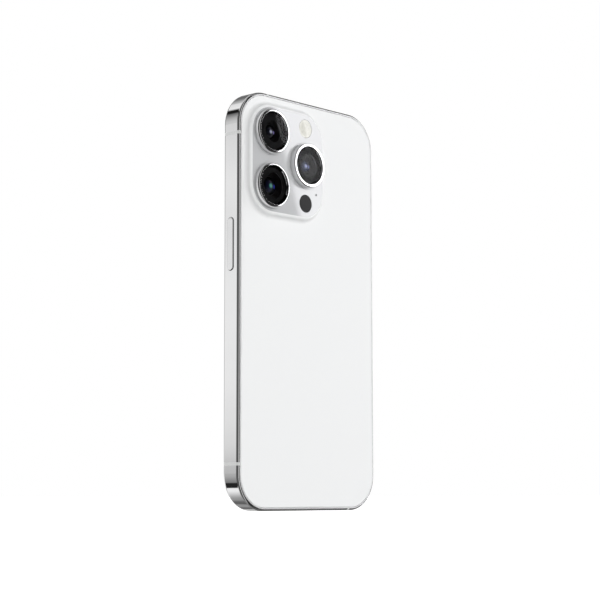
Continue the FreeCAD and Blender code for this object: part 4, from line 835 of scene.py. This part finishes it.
@dataclass
class Camera:
    """One rear camera: polished ring, sapphire cover, baffled barrel and coated front element."""

    name: str
    # colours of the painted reflections on the front element: a broad glow, then two flares
    painted_flare_colours: Tuple[str, str, str]
    aperture: float               # clear radius inside the ink
    element: float                # radius of the front element
    lip: float = 1.0              # width of the ring's flat top and its rounding
    roll: float = 0.75            # rounding of the ring's outer edge
    drop: float = 2.2             # from the ring's top down to its shoulder
    step: float = 0.7             # width of the shoulder, and of the cover's ledge
    fine: float = 0.03            # breaks of sharp edges
    cover_roll: float = 0.05
    cover_flat: float = 1.0       # width of the strip that runs in from the cover's rounding
    steps: int = 4                # baffles
    front_wall: float = 0.55      # width of the barrel's front ring
    front_rolls: Tuple[float, float] = (0.2, 0.08)
    slack: float = 0.02           # between the element and its bore
    sink: float = 0.25            # last baffle below the element's top
    pitch: float = 0.05           # rise of each baffle's tread towards the axis
    ball: float = 6.5             # radius of the element's dome
    NAMES: ClassVar[Tuple[str, ...]] = ("ultrawide", "main", "telephoto")

    def __post_init__(self) -> None:
        """Reads where the camera is."""
        self.ring = Span.of(f"{self.name}_lens_ring")
        self.cover = Span.of(f"{self.name}_lens_cover")
        self.barrel = Span.of(f"{self.name}_lens_barrel")
        self.front = Span.of(f"{self.name}_front_element")
        self.turn = Outline.about(self.ring.axis, 160)

    def build(self) -> None:
        """Builds the camera's four visible parts."""
        self.build_ring()
        self.build_cover()
        self.build_barrel()
        self.build_element()

    def build_ring(self) -> None:
        """Turned ring: neck, shoulder on the plateau, tall polished side, rolled edge and flat lip."""
        top, foot, seat = self.ring.high[1], self.ring.low[1], self.cover.low[1]
        shoulder = top - self.drop
        outer = self.ring.radius
        neck, inner = outer - self.step, outer - self.lip
        ledge = inner - self.step
        shape = [(ledge, foot, 0.0), (neck, foot, 0.0), (neck, shoulder, 0.0),
                 (outer, shoulder, 0.0), (outer, top, self.roll), (inner, top, self.fine),
                 (inner, seat, 0.0), (ledge, seat, 0.0)]
        piece = Piece(f"{self.name}_ring_turned")
        piece.carry(self.turn, section(shape, closed=True, facets=12))
        piece.build(PHONE, "polished_steel", (RING_STEEL,), (f"{self.name}_lens_ring",))

    def build_cover(self) -> None:
        """Cover disc with a rolled top edge, and black ink printed under its rim."""
        top, foot, radius = self.cover.high[1], self.cover.low[1], self.cover.radius
        inner = radius - self.cover_flat
        piece = Piece(f"{self.name}_cover_disc")
        piece.carry(self.turn, section([(self.aperture, foot, 0.0), (radius, foot, 0.0)]), 1)
        piece.carry(self.turn, section([(radius, foot, 0.0), (radius, top, self.cover_roll),
                                        (inner, top, 0.0)]))
        piece.panel(self.turn.offset(inner), [], top, 1.0)
        piece.panel(self.turn.offset(self.aperture), [], foot, -1.0)
        piece.build(PHONE, "lens_cover_crystal", (SAPPHIRE, BLACK_INK), (f"{self.name}_lens_cover",))

    def build_barrel(self) -> None:
        """Barrel with a front ring and stepped baffles that narrow to the element."""
        top, foot, outer = self.barrel.high[1], self.barrel.low[1], self.barrel.radius
        bore = self.element + self.slack
        wide = outer - self.front_wall
        shape = [(bore, foot, 0.0), (outer, foot, 0.0), (outer, top, self.front_rolls[0]),
                 (wide, top, self.front_rolls[1])]
        deep = top - self.front.high[1] + self.sink
        for i in range(self.steps):
            here = wide - (wide - bore) * i / self.steps
            after = wide - (wide - bore) * (i + 1) / self.steps
            level = top - deep * (i + 1) / self.steps
            shape += [(here, level, self.fine), (after, level + self.pitch, self.fine)]
        piece = Piece(f"{self.name}_barrel_baffled")
        piece.carry(self.turn, section(shape, closed=True, facets=4))
        piece.build(f"{self.name}_lens", "black_lens_metal", (BLACK_ANODISED,),
                    (f"{self.name}_lens_barrel",))

    def build_element(self) -> None:
        """Domed front element: a ball's cap, its height falling as the square root of R² - r²."""
        top, foot, radius = self.front.high[1], self.front.low[1], self.front.radius
        ball = self.ball
        out = np.linspace(radius, 0.0, 15)
        height = top - ball + np.sqrt(ball ** 2 - out ** 2)
        cap = np.stack([out, height, out / ball, np.sqrt(1.0 - (out / ball) ** 2)], axis=1)
        piece = Piece(f"{self.name}_element_domed")
        piece.carry(self.turn, [cap])
        piece.carry(self.turn, section([(0.0, foot, 0.0), (radius, foot, 0.0),
                                        (radius, float(height[0]), 0.0)]))
        # The element's colours are painted reflections of its coatings, not light that reaches it.
        glass = LensPaintedFlares(f"optical_glass_coated_painted_flares_{self.name}", self.ring.axis, radius, self.painted_flare_colours)
        piece.build(f"{self.name}_lens", "lens_element_glass", (glass,), (f"{self.name}_front_element",))


# ------------------------------------------------------------------ flash and depth window

@dataclass
class Windows:
    """Flash diffuser with its ribs, and the flat depth window."""

    bevel: float = 0.06           # ground edge of the depth window
    bevel_flat: float = 0.4       # width of the strip that runs in from it
    roll: float = 0.12            # rounding of the flash's rim
    rim: float = 0.5              # width of the flash's clear rim
    hub: float = 0.4              # radius of the plain middle
    ribs: int = 5
    valley: float = 0.07          # depths of each rib's outer edge, its inner edge and the hub
    crest: float = 0.01
    hub_sink: float = 0.02

    def build(self) -> None:
        """Builds both windows."""
        self.build_flash()
        self.build_depth()

    def build_flash(self) -> None:
        """Flash: a clear rolled rim round shallow ring ribs that spread the light."""
        span = Span.of("flash_window")
        top, foot, radius = span.high[1], span.low[1], span.radius
        turn = Outline.about(span.axis, 72)
        shape = [(0.0, foot, 0.0), (radius, foot, 0.0), (radius, top, self.roll),
                 (radius - self.rim, top, 0.0)]
        pitch = (radius - (self.rim + self.hub)) / self.ribs
        for i in range(self.ribs):
            outer = radius - self.rim - i * pitch
            shape += [(outer, top - self.valley, 0.0), (outer - pitch, top - self.crest, 0.0)]
        shape.append((0.0, top - self.hub_sink, 0.0))
        piece = Piece("flash_window_ribbed")
        piece.carry(turn, section(shape, facets=8))
        piece.build(PHONE, "flash_diffuser", (FlashGlass(span.middle),), ("flash_window",))

    def build_depth(self) -> None:
        """Depth window: a flat disc with a ground edge."""
        span = Span.of("depth_sensor_window")
        top, foot, radius = span.high[1], span.low[1], span.radius
        inner = radius - self.bevel_flat
        turn = Outline.about(span.axis, 96)
        piece = Piece("depth_window_disc")
        piece.carry(turn, section([(0.0, foot, 0.0), (radius, foot, 0.0), (radius, top, self.bevel),
                                   (inner, top, 0.0)]))
        piece.panel(turn.offset(inner), [], top, 1.0)
        piece.build(PHONE, "dark_sensor_glass", (SENSOR_GLASS,), ("depth_sensor_window",))


@dataclass(frozen=True)
class FlashGlass:
    """Frosted cream diffuser: the emitters' yellow squares show softly through it."""

    middle: np.ndarray
    name: str = "polycarbonate_diffuser_frosted"
    pitch: float = 1.75           # from emitter to emitter
    relief: float = 0.14          # height of the moulded facets
    roughness: float = 0.22
    coat: float = 0.5
    coat_roughness: float = 0.03

    def make(self) -> bpy.types.Material:
        """Makes the material.

        Returns:
            The material.
        """
        material, tree, shader = blank_material(self.name)
        place = add_node(tree, "TexCoord").outputs["Object"]
        scale = 1.0 / (self.pitch * MM)
        shift = tuple(-float(part) * MM * scale for part in self.middle)
        placed = add_node(tree, "Mapping", i0=place, Location=shift, Scale=(scale,) * 3)
        cells = add_node(tree, "TexVoronoi", {"feature": "SMOOTH_F1", "distance": "CHEBYCHEV"},
                         Vector=placed.outputs[0], Scale=1.0, Randomness=0.15)
        clouds = add_node(tree, "TexNoise", Vector=placed.outputs[0], Scale=1.3, Detail=2.0)
        share = add_node(tree, "MapRange", i0=cells.outputs["Distance"], i1=0.2, i2=0.55)
        tint = add_node(tree, "Mix", {"data_type": "RGBA"}, i0=share.outputs[0],
                        i6=linear("#dfded3"), i7=linear("#f8f7f2"))
        warm = add_node(tree, "Mix", {"data_type": "RGBA"}, i0=clouds.outputs["Fac"],
                        i6=tint.outputs[2], i7=linear("#ecebe2"))
        tree.links.new(warm.outputs[2], shader.inputs["Base Color"])
        raised = add_node(tree, "Bump", Height=cells.outputs["Distance"], Strength=1.0,
                          Distance=self.relief * MM)
        tree.links.new(raised.outputs[0], shader.inputs["Normal"])
        shader.inputs["Roughness"].default_value = self.roughness
        shader.inputs["Coat Weight"].default_value = self.coat
        shader.inputs["Coat Roughness"].default_value = self.coat_roughness
        return material


# ------------------------------------------------------------------ display side

@dataclass
class DisplaySide:
    """Front glass with its black border, and the panel behind it with the sensor cut-out."""

    edge: float = 0.25            # rounding of the glass
    flat: float = 1.0             # width of the strip that runs in from it
    corner: float = 11.65
    border: float = 1.75          # width of the ink
    panel_corner: float = 9.9
    panel_edge: float = 0.1       # rounding of the panel
    panel_flat: float = 0.6       # width of its black edge
    pill: Tuple[float, float] = (20.8, 6.1)
    pill_flat: float = 0.25       # width of the black edge round the opening
    pill_edge: float = 0.05
    glue: float = 0.04

    def build(self) -> None:
        """Builds the glass and the panel."""
        self.build_glass()
        self.build_panel()

    def build_glass(self) -> None:
        """Glass: clear, with a rolled edge, and ink printed round the border of its inner face."""
        span = Span.of("front_glass")
        outer, inner = -span.low[1], -span.high[1]
        rim = Outline.round_rectangle(*span.face, self.corner, 32)
        piece = Piece("front_glass_sheet", flip=-1.0)
        piece.carry(rim, section([(-self.border, inner, 0.0), (0.0, inner, 0.0)]), 1)
        piece.carry(rim, section([(0.0, inner, 0.0), (0.0, outer, self.edge),
                                  (-self.flat, outer, 0.0)], facets=8))
        piece.panel(rim.offset(-self.flat), [], outer, 1.0)
        piece.panel(rim.offset(-self.border), [], inner, -1.0)
        piece.build(PHONE, "front_glass", (FRONT_GLASS, BLACK_INK), ("front_glass",))

    def build_panel(self) -> None:
        """Panel: a thin slab with a black edge and a pill-shaped opening for the front sensors.

        A hair of optical glue stays free between its face and the glass.
        """
        span = Span.of("display_panel")
        sensors = Span.of("front_camera").middle
        outer, inner = -span.low[1] - self.glue, -span.high[1]
        rim = Outline.round_rectangle(*span.face, self.panel_corner, 24)
        wide, tall = self.pill[0] / 2, self.pill[1] / 2
        hole = Outline.round_rectangle((-wide, sensors[2] - tall), (wide, sensors[2] + tall),
                                       tall - PILL_SLACK)
        piece = Piece("display_panel_slab", flip=-1.0)
        piece.carry(rim, section([(0.0, inner, 0.0), (0.0, outer, self.panel_edge),
                                  (-self.panel_flat, outer, 0.0)]), 1)
        piece.panel(rim.offset(-self.panel_flat), [hole.offset(self.pill_flat)], outer, 1.0)
        piece.carry(hole, section([(self.pill_flat, outer, 0.0), (0.0, outer, self.pill_edge),
                                   (0.0, inner, 0.0)]), 1)
        piece.panel(rim.offset(0.0), [hole.offset(0.0)], inner, -1.0, 1)
        piece.build(PHONE, "display", (DISPLAY_OFF, BLACK_INK), ("display_panel",))


# ------------------------------------------------------------------ buttons

@dataclass
class Button:
    """One push button: a pill-shaped steel cap with a rolled edge on its stem and ears."""

    name: str
    side: float                   # 1 on the +X side, -1 on the -X side
    width: float = 2.9
    edge: float = 0.22            # rounding of the cap
    crown: float = 0.03           # rise of its face
    cap: float = 1.45             # height of the cap above its shelf
    stem_width: float = 1.6

    def build(self) -> None:
        """Builds the button: the stem that goes through the band, then the wider cap.

        The cap's face is very slightly crowned: its section rises by a hair towards the middle line.
        """
        span = Span.of(self.name)
        middle = span.middle[[1, 2]]
        tip = span.high[0] if self.side > 0 else -span.low[0]
        root = span.low[0] if self.side > 0 else -span.high[0]
        half = (span.high[2] - span.low[2]) / 2
        width = self.width / 2
        face = Outline.round_rectangle((middle[0] - width, middle[1] - half),
                                       (middle[0] + width, middle[1] + half), width - PILL_SLACK)
        stem = width - self.stem_width / 2
        shelf = tip - self.cap
        piece = Piece(self.name + "_cap", Plane.SIDE, self.side)
        piece.carry(face, section([(-stem, root, 0.0), (-stem, shelf, 0.0), (0.0, shelf, 0.0),
                                   (0.0, tip - self.crown, self.edge), (-stem, tip, 0.0)], facets=8))
        piece.panel(face.offset(-stem), [], tip, 1.0)
        piece.panel(face.offset(-stem), [], root, -1.0)
        piece.build(self.name, "button_steel", (BUFFED_STEEL,), (self.name,))


# ------------------------------------------------------------------ CAD nodes that keep their shape

DRESSING: Dict[Finish, Tuple[str, ...]] = {
    POLISHED_STEEL: ("band_right", "band_left", "band_top_left", "band_top_right", "band_bottom_left",
                     "band_bottom_right"),
    BUFFED_STEEL: ("mute_slider", "card_tray"),
    ANTENNA_NYLON: ("antenna_breaks",),
    ADHESIVE: ("back_glass_seal", "display_seal"),
    DIE_CAST: ("ultrawide_camera_housing", "main_camera_housing", "telephoto_camera_housing",
               "camera_bracket"),
    BLACK_POLYMER: ("depth_sensor_module", "rear_microphone", "face_sensor", "mute_switch_case",
                    "earpiece_speaker", "loudspeaker"),
    SENSOR_GLASS: ("front_camera",),
    SHEET_STEEL: ("button_switches", "card_reader", "charging_port", "board_spacer_frame",
                  "haptic_case"),
    GOLD: ("port_contacts",),
    SCREW_STEEL: ("bottom_screws",),
    SOUND_MESH: ("acoustic_meshes",),
    BLASTED_PLATE: ("back_plate",),
    COPPER_COIL: ("charging_coil",),
    MAGNETS: ("magnet_ring",),
    FERRITE: ("coil_shield",),
    POUCH: ("battery",),
    CIRCUIT: ("flash_board", "logic_board_lower", "logic_board_upper", "dock_board"),
    TUNGSTEN: ("haptic_mass",),
}


def dress_nodes() -> int:
    """Gives each CAD node that keeps its shape its finish.

    Returns:
        How many there are.
    """
    count = 0
    for finish, nodes in DRESSING.items():
        for name in nodes:
            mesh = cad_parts[name].data
            mesh.materials.clear()
            mesh.materials.append(finish.make())
            count += 1
    return count


# ------------------------------------------------------------------ studio

@dataclass
class Studio:
    """White studio: soft boxes and panels set round the phone, dark zones between, and a pale floor.

    Zones go by azimuth in degrees, from +X towards +Y, and bands by degrees above the level.
    """

    floor_half: float = 2.0       # metres
    floor_glow: float = 0.9
    fill: float = 0.2             # even part of the light on matt surfaces
    front_edge: Tuple[float, float] = (-134.0, 3.0)   # start of a zone, and half of its soft start
    side_edge: Tuple[float, float] = (-92.0, 5.0)
    side_late: float = 28.0       # how much later the side zone starts near the level
    side_heights: Tuple[float, float] = (0.42, 0.52)  # sines of the height where that fades out
    panels: Tuple[Tuple[float, float, float], ...] = (
        (-36.0, 3.0, 0.04),       # dark gap: start, half of its soft start and brightness
        (-7.0, 3.0, 0.25),        # grey panel that the side band mirrors
        (7.0, 3.0, 0.04),
        (46.0, 3.0, 0.55),        # paler panel towards the back
        (78.0, 4.0, 0.03))        # dark zone up to the box
    box: float = 3.4
    box_cool: float = 1.02        # its blue over its red
    box_edge: Tuple[float, float] = (139.58, 0.05)
    box_slant: float = 0.252      # how far its edge leans: radians of azimuth per sine of the height
    box_end: Tuple[float, float] = (162.0, 4.0)
    box_top: float = 30.0
    box_foot: float = -13.0
    box_soft: float = 0.04        # half of its soft top and foot, as a sine
    beyond: float = 0.3           # over and under the box
    far: float = 0.1              # past the box
    side_bands: Bands = (
        (-90, .3), (-60, .25), (-46, .26), (-44, .38), (-42, .55), (-39, .76), (-35, .96), (-30.3, .95),
        (-29, .02), (-20.3, .02), (-18.5, .22), (-10.7, .34), (-5, .44), (.7, .5), (1.6, .76),
        (3.5, .9), (7, .92), (9.5, .84), (11, .9), (12.4, .8), (13.4, .68), (18.6, .61), (24, .49),
        (29, .33), (34, .16), (36, .01), (40.5, .01), (43, .95), (48, .8), (90, .55))
    front_bands: Bands = (
        (-90, .25), (-45, .17), (-43, .1), (-41, .3), (-37, .32), (-33, .18), (-29, .09), (-24, .42),
        (-19, .68), (-13, 1.0), (-2, 1.0), (3, .5), (10, .4), (15, .2), (18, .085), (23, .13),
        (28, .2), (33, .16), (38, .13), (41, .2), (44, .3), (46, .5), (48, .6), (90, .55))
    lobes: Tuple[Tuple[float, float, float, float], ...] = (   # azimuth, height, power and strength
        (99.0, 5.0, 7.0, 2.4),
        (-62.0, 5.0, 3.0, 2.2),
        (22.0, 0.0, 4.0, 0.42),
        (90.0, -50.0, 2.0, 0.2))

    def build(self) -> None:
        """Builds the world and the floor."""
        scene = bpy.context.scene
        scene.view_settings.view_transform = "Standard"
        scene.view_settings.look = "None"
        scene.world = self.make_world()
        self.make_floor()

    def make_world(self) -> bpy.types.World:
        """World seen as plain white, but lighting and reflecting as soft boxes.

        Each zone begins at its own azimuth and covers the ones before it. The first two are boxes
        banded by height. Plain panels follow, and last the broad box, bounded above and below,
        whose near edge leans.

        Returns:
            The world.
        """
        world = bpy.data.worlds.new("studio")
        world.use_nodes = True
        tree = world.node_tree
        tree.nodes.clear()
        way = add_node(tree, "TexCoord").outputs["Generated"]
        parts = add_node(tree, "SeparateXYZ", Vector=way)
        rise = parts.outputs["Z"]
        level = add_node(tree, "MapRange", i0=rise, i1=-1.0, i2=1.0).outputs[0]
        azimuth = add_node(tree, "Math", {"operation": "ARCTAN2"}, i0=parts.outputs["Y"],
                           i1=parts.outputs["X"]).outputs[0]
        slanted = add_node(tree, "Math", {"operation": "MULTIPLY_ADD"}, i0=rise, i1=self.box_slant,
                           i2=azimuth).outputs[0]

        def past(edge: Tuple[float, float], source: bpy.types.NodeSocket) -> bpy.types.NodeSocket:
            """Rises smoothly from 0 to 1 where the source passes an edge.

            Args:
                edge: angle in degrees, and half the width of the rise.
                source: the angle, in radians.

            Returns:
                The share past the edge.
            """
            angle, soft = edge
            return add_node(tree, "MapRange", {"interpolation_type": "SMOOTHSTEP"}, i0=source,
                            i1=math.radians(angle - soft), i2=math.radians(angle + soft)).outputs[0]

        def banded(stops: Bands) -> bpy.types.NodeSocket:
            """Brightness by height.

            Args:
                stops: angles in degrees above the level, each with its brightness.

            Returns:
                The colour.
            """
            ramp = add_node(tree, "ValToRGB", Fac=level)
            set_ramp(ramp, [((math.sin(math.radians(angle)) + 1) / 2, grey(value))
                            for angle, value in stops])
            return ramp.outputs["Color"]

        top, bottom = math.sin(math.radians(self.box_top)), math.sin(math.radians(self.box_foot))
        middle, half = (top + bottom) / 2, (top - bottom) / 2
        shift = add_node(tree, "Math", {"operation": "SUBTRACT"}, i0=rise, i1=middle).outputs[0]
        off = add_node(tree, "Math", {"operation": "ABSOLUTE"}, i0=shift).outputs[0]
        over = add_node(tree, "MapRange", {"interpolation_type": "SMOOTHSTEP"}, i0=off,
                        i1=half - self.box_soft, i2=half + self.box_soft).outputs[0]
        box = add_node(tree, "Mix", {"data_type": "RGBA"}, i0=over,
                       i6=(self.box, self.box, self.box * self.box_cool, 1.0),
                       i7=grey(self.beyond)).outputs[2]
        aside = add_node(tree, "Math", {"operation": "ABSOLUTE"}, i0=rise).outputs[0]
        late = add_node(tree, "MapRange", i0=aside, i1=self.side_heights[0], i2=self.side_heights[1],
                        i3=math.radians(self.side_late), i4=0.0).outputs[0]
        near = add_node(tree, "Math", {"operation": "SUBTRACT"}, i0=azimuth, i1=late).outputs[0]
        zones = [(past(self.front_edge, azimuth), banded(self.front_bands)),
                 (past(self.side_edge, near), banded(self.side_bands))]
        zones += [(past((angle, soft), azimuth), grey(value)) for angle, soft, value in self.panels]
        zones += [(past(self.box_edge, slanted), box), (past(self.box_end, azimuth), grey(self.far))]
        colour = grey(self.far)
        for share, tint in zones:
            colour = add_node(tree, "Mix", {"data_type": "RGBA"}, i0=share, i6=colour,
                              i7=tint).outputs[2]
        rays = add_node(tree, "LightPath")
        gloss, light, seen = [
            add_node(tree, "Background", Color=tint, Strength=1.0).outputs[0]
            for tint in (colour, self.soft_light(tree, way), grey(1.0))]
        lit = add_node(tree, "MixShader", i0=rays.outputs["Is Diffuse Ray"], i1=gloss, i2=light)
        shown = add_node(tree, "MixShader", i0=rays.outputs["Is Camera Ray"], i1=lit.outputs[0],
                         i2=seen)
        add_node(tree, "OutputWorld", Surface=shown.outputs[0])
        return world

    def soft_light(self, tree: bpy.types.NodeTree, way: bpy.types.NodeSocket) -> bpy.types.NodeSocket:
        """Light for matt surfaces: an even fill with broad lobes from the sides.

        A lobe is the cosine of the angle to its middle, where positive, raised to a power.

        Args:
            tree: the world's node tree.
            way: the direction looked in.

        Returns:
            The colour of the light.
        """
        total = None
        for azimuth, height, power, strength in self.lobes:
            turn, lift = math.radians(azimuth), math.radians(height)
            middle = (math.cos(turn) * math.cos(lift), math.sin(turn) * math.cos(lift), math.sin(lift))
            near = add_node(tree, "VectorMath", {"operation": "DOT_PRODUCT"}, i0=way, i1=middle)
            over = add_node(tree, "Math", {"operation": "MAXIMUM"}, i0=near.outputs["Value"], i1=0.0)
            lobe = add_node(tree, "Math", {"operation": "POWER"}, i0=over.outputs[0], i1=power)
            total = add_node(tree, "Math", {"operation": "MULTIPLY_ADD"}, i0=lobe.outputs[0],
                             i1=strength, i2=self.fill if total is None else total).outputs[0]
        return total

    def make_floor(self) -> None:
        """Pale floor that the phone stands on."""
        reach = self.floor_half
        mesh = bpy.data.meshes.new("floor")
        mesh.from_pydata([(-reach, -reach, 0.0), (reach, -reach, 0.0), (reach, reach, 0.0),
                          (-reach, reach, 0.0)], [], [(0, 1, 2, 3)])
        floor = bpy.data.objects.new("floor", mesh)
        bpy.context.scene.collection.objects.link(floor)
        floor.visible_glossy = False
        floor.visible_diffuse = False
        pale, _, shader = blank_material("paper_backdrop_pale")
        shader.inputs["Base Color"].default_value = linear("#c9c9c9")
        shader.inputs["Roughness"].default_value = 1.0
        shader.inputs["Specular IOR Level"].default_value = 0.0
        shader.inputs["Emission Color"].default_value = grey(1.0)
        shader.inputs["Emission Strength"].default_value = self.floor_glow
        mesh.materials.append(pale)


# ------------------------------------------------------------------ camera

@dataclass
class View:
    """Camera low behind the phone's side, looking slightly up at its back."""

    azimuth: float = 132.8105     # degrees from the display side, by way of +X
    distance: float = 586.52
    height: float = 5.955
    yaw: float = 0.0007           # radians, like the pitch and the roll
    pitch: float = 0.1182
    roll: float = -0.0015
    sensor: float = 36.0
    lens: float = 97.8727
    clip: float = 0.01            # metres
    glass: float = 0.8            # back glass over its seal

    def build(self) -> None:
        """Makes the camera and points it: level direction, then pitch, then roll."""
        glass, back = Span.of("front_glass"), Span.of("back_glass_seal")
        middle = (glass.low[1] + back.high[1] + self.glass) / 2
        turn = math.radians(self.azimuth)
        place = Vector((math.sin(turn) * self.distance, -math.cos(turn) * self.distance + middle,
                        self.height)) * MM
        level = Vector((-math.sin(turn + self.yaw), math.cos(turn + self.yaw), 0.0))
        above = Vector((0.0, 0.0, 1.0))
        ahead = level * math.cos(self.pitch) + above * math.sin(self.pitch)
        right = level.cross(above)
        up = right.cross(ahead)
        across = right * math.cos(self.roll) + up * math.sin(self.roll)
        upright = up * math.cos(self.roll) - right * math.sin(self.roll)
        camera = bpy.data.cameras.new("view")
        camera.sensor_width = self.sensor
        camera.lens = self.lens
        camera.clip_start = self.clip
        holder = bpy.data.objects.new("view", camera)
        turned = Matrix((across, upright, -ahead)).transposed().to_4x4()
        holder.matrix_world = Matrix.Translation(place) @ turned
        bpy.context.scene.collection.objects.link(holder)
        bpy.context.scene.camera = holder


def main() -> None:
    """Builds the phone piece by piece, then the studio and the camera."""
    logging.basicConfig(level=logging.INFO, format="%(message)s")
    LOG.info("dressed %d CAD nodes", dress_nodes())
    BackGlass().build()
    # Each camera's three colours are painted reflections on its front element: a broad glow and two
    # flares.
    for camera in (
            Camera("ultrawide", ("#1c2030", "#c9cbe6", "#8f86c8"), 3.9, 2.6),
            Camera("main", ("#141a3c", "#4fae98", "#3442b8"), 4.7, 3.3),
            Camera("telephoto", ("#3d4a78", "#b4bee6", "#8a93d2"), 4.4, 2.9, roll=0.35)):
        camera.build()
    Windows().build()
    DisplaySide().build()
    for name, side in (("side_button", 1.0), ("volume_up_button", -1.0), ("volume_down_button", -1.0)):
        Button(name, side).build()
    Studio().build()
    View().build()


if __name__ == "__main__":
    main()
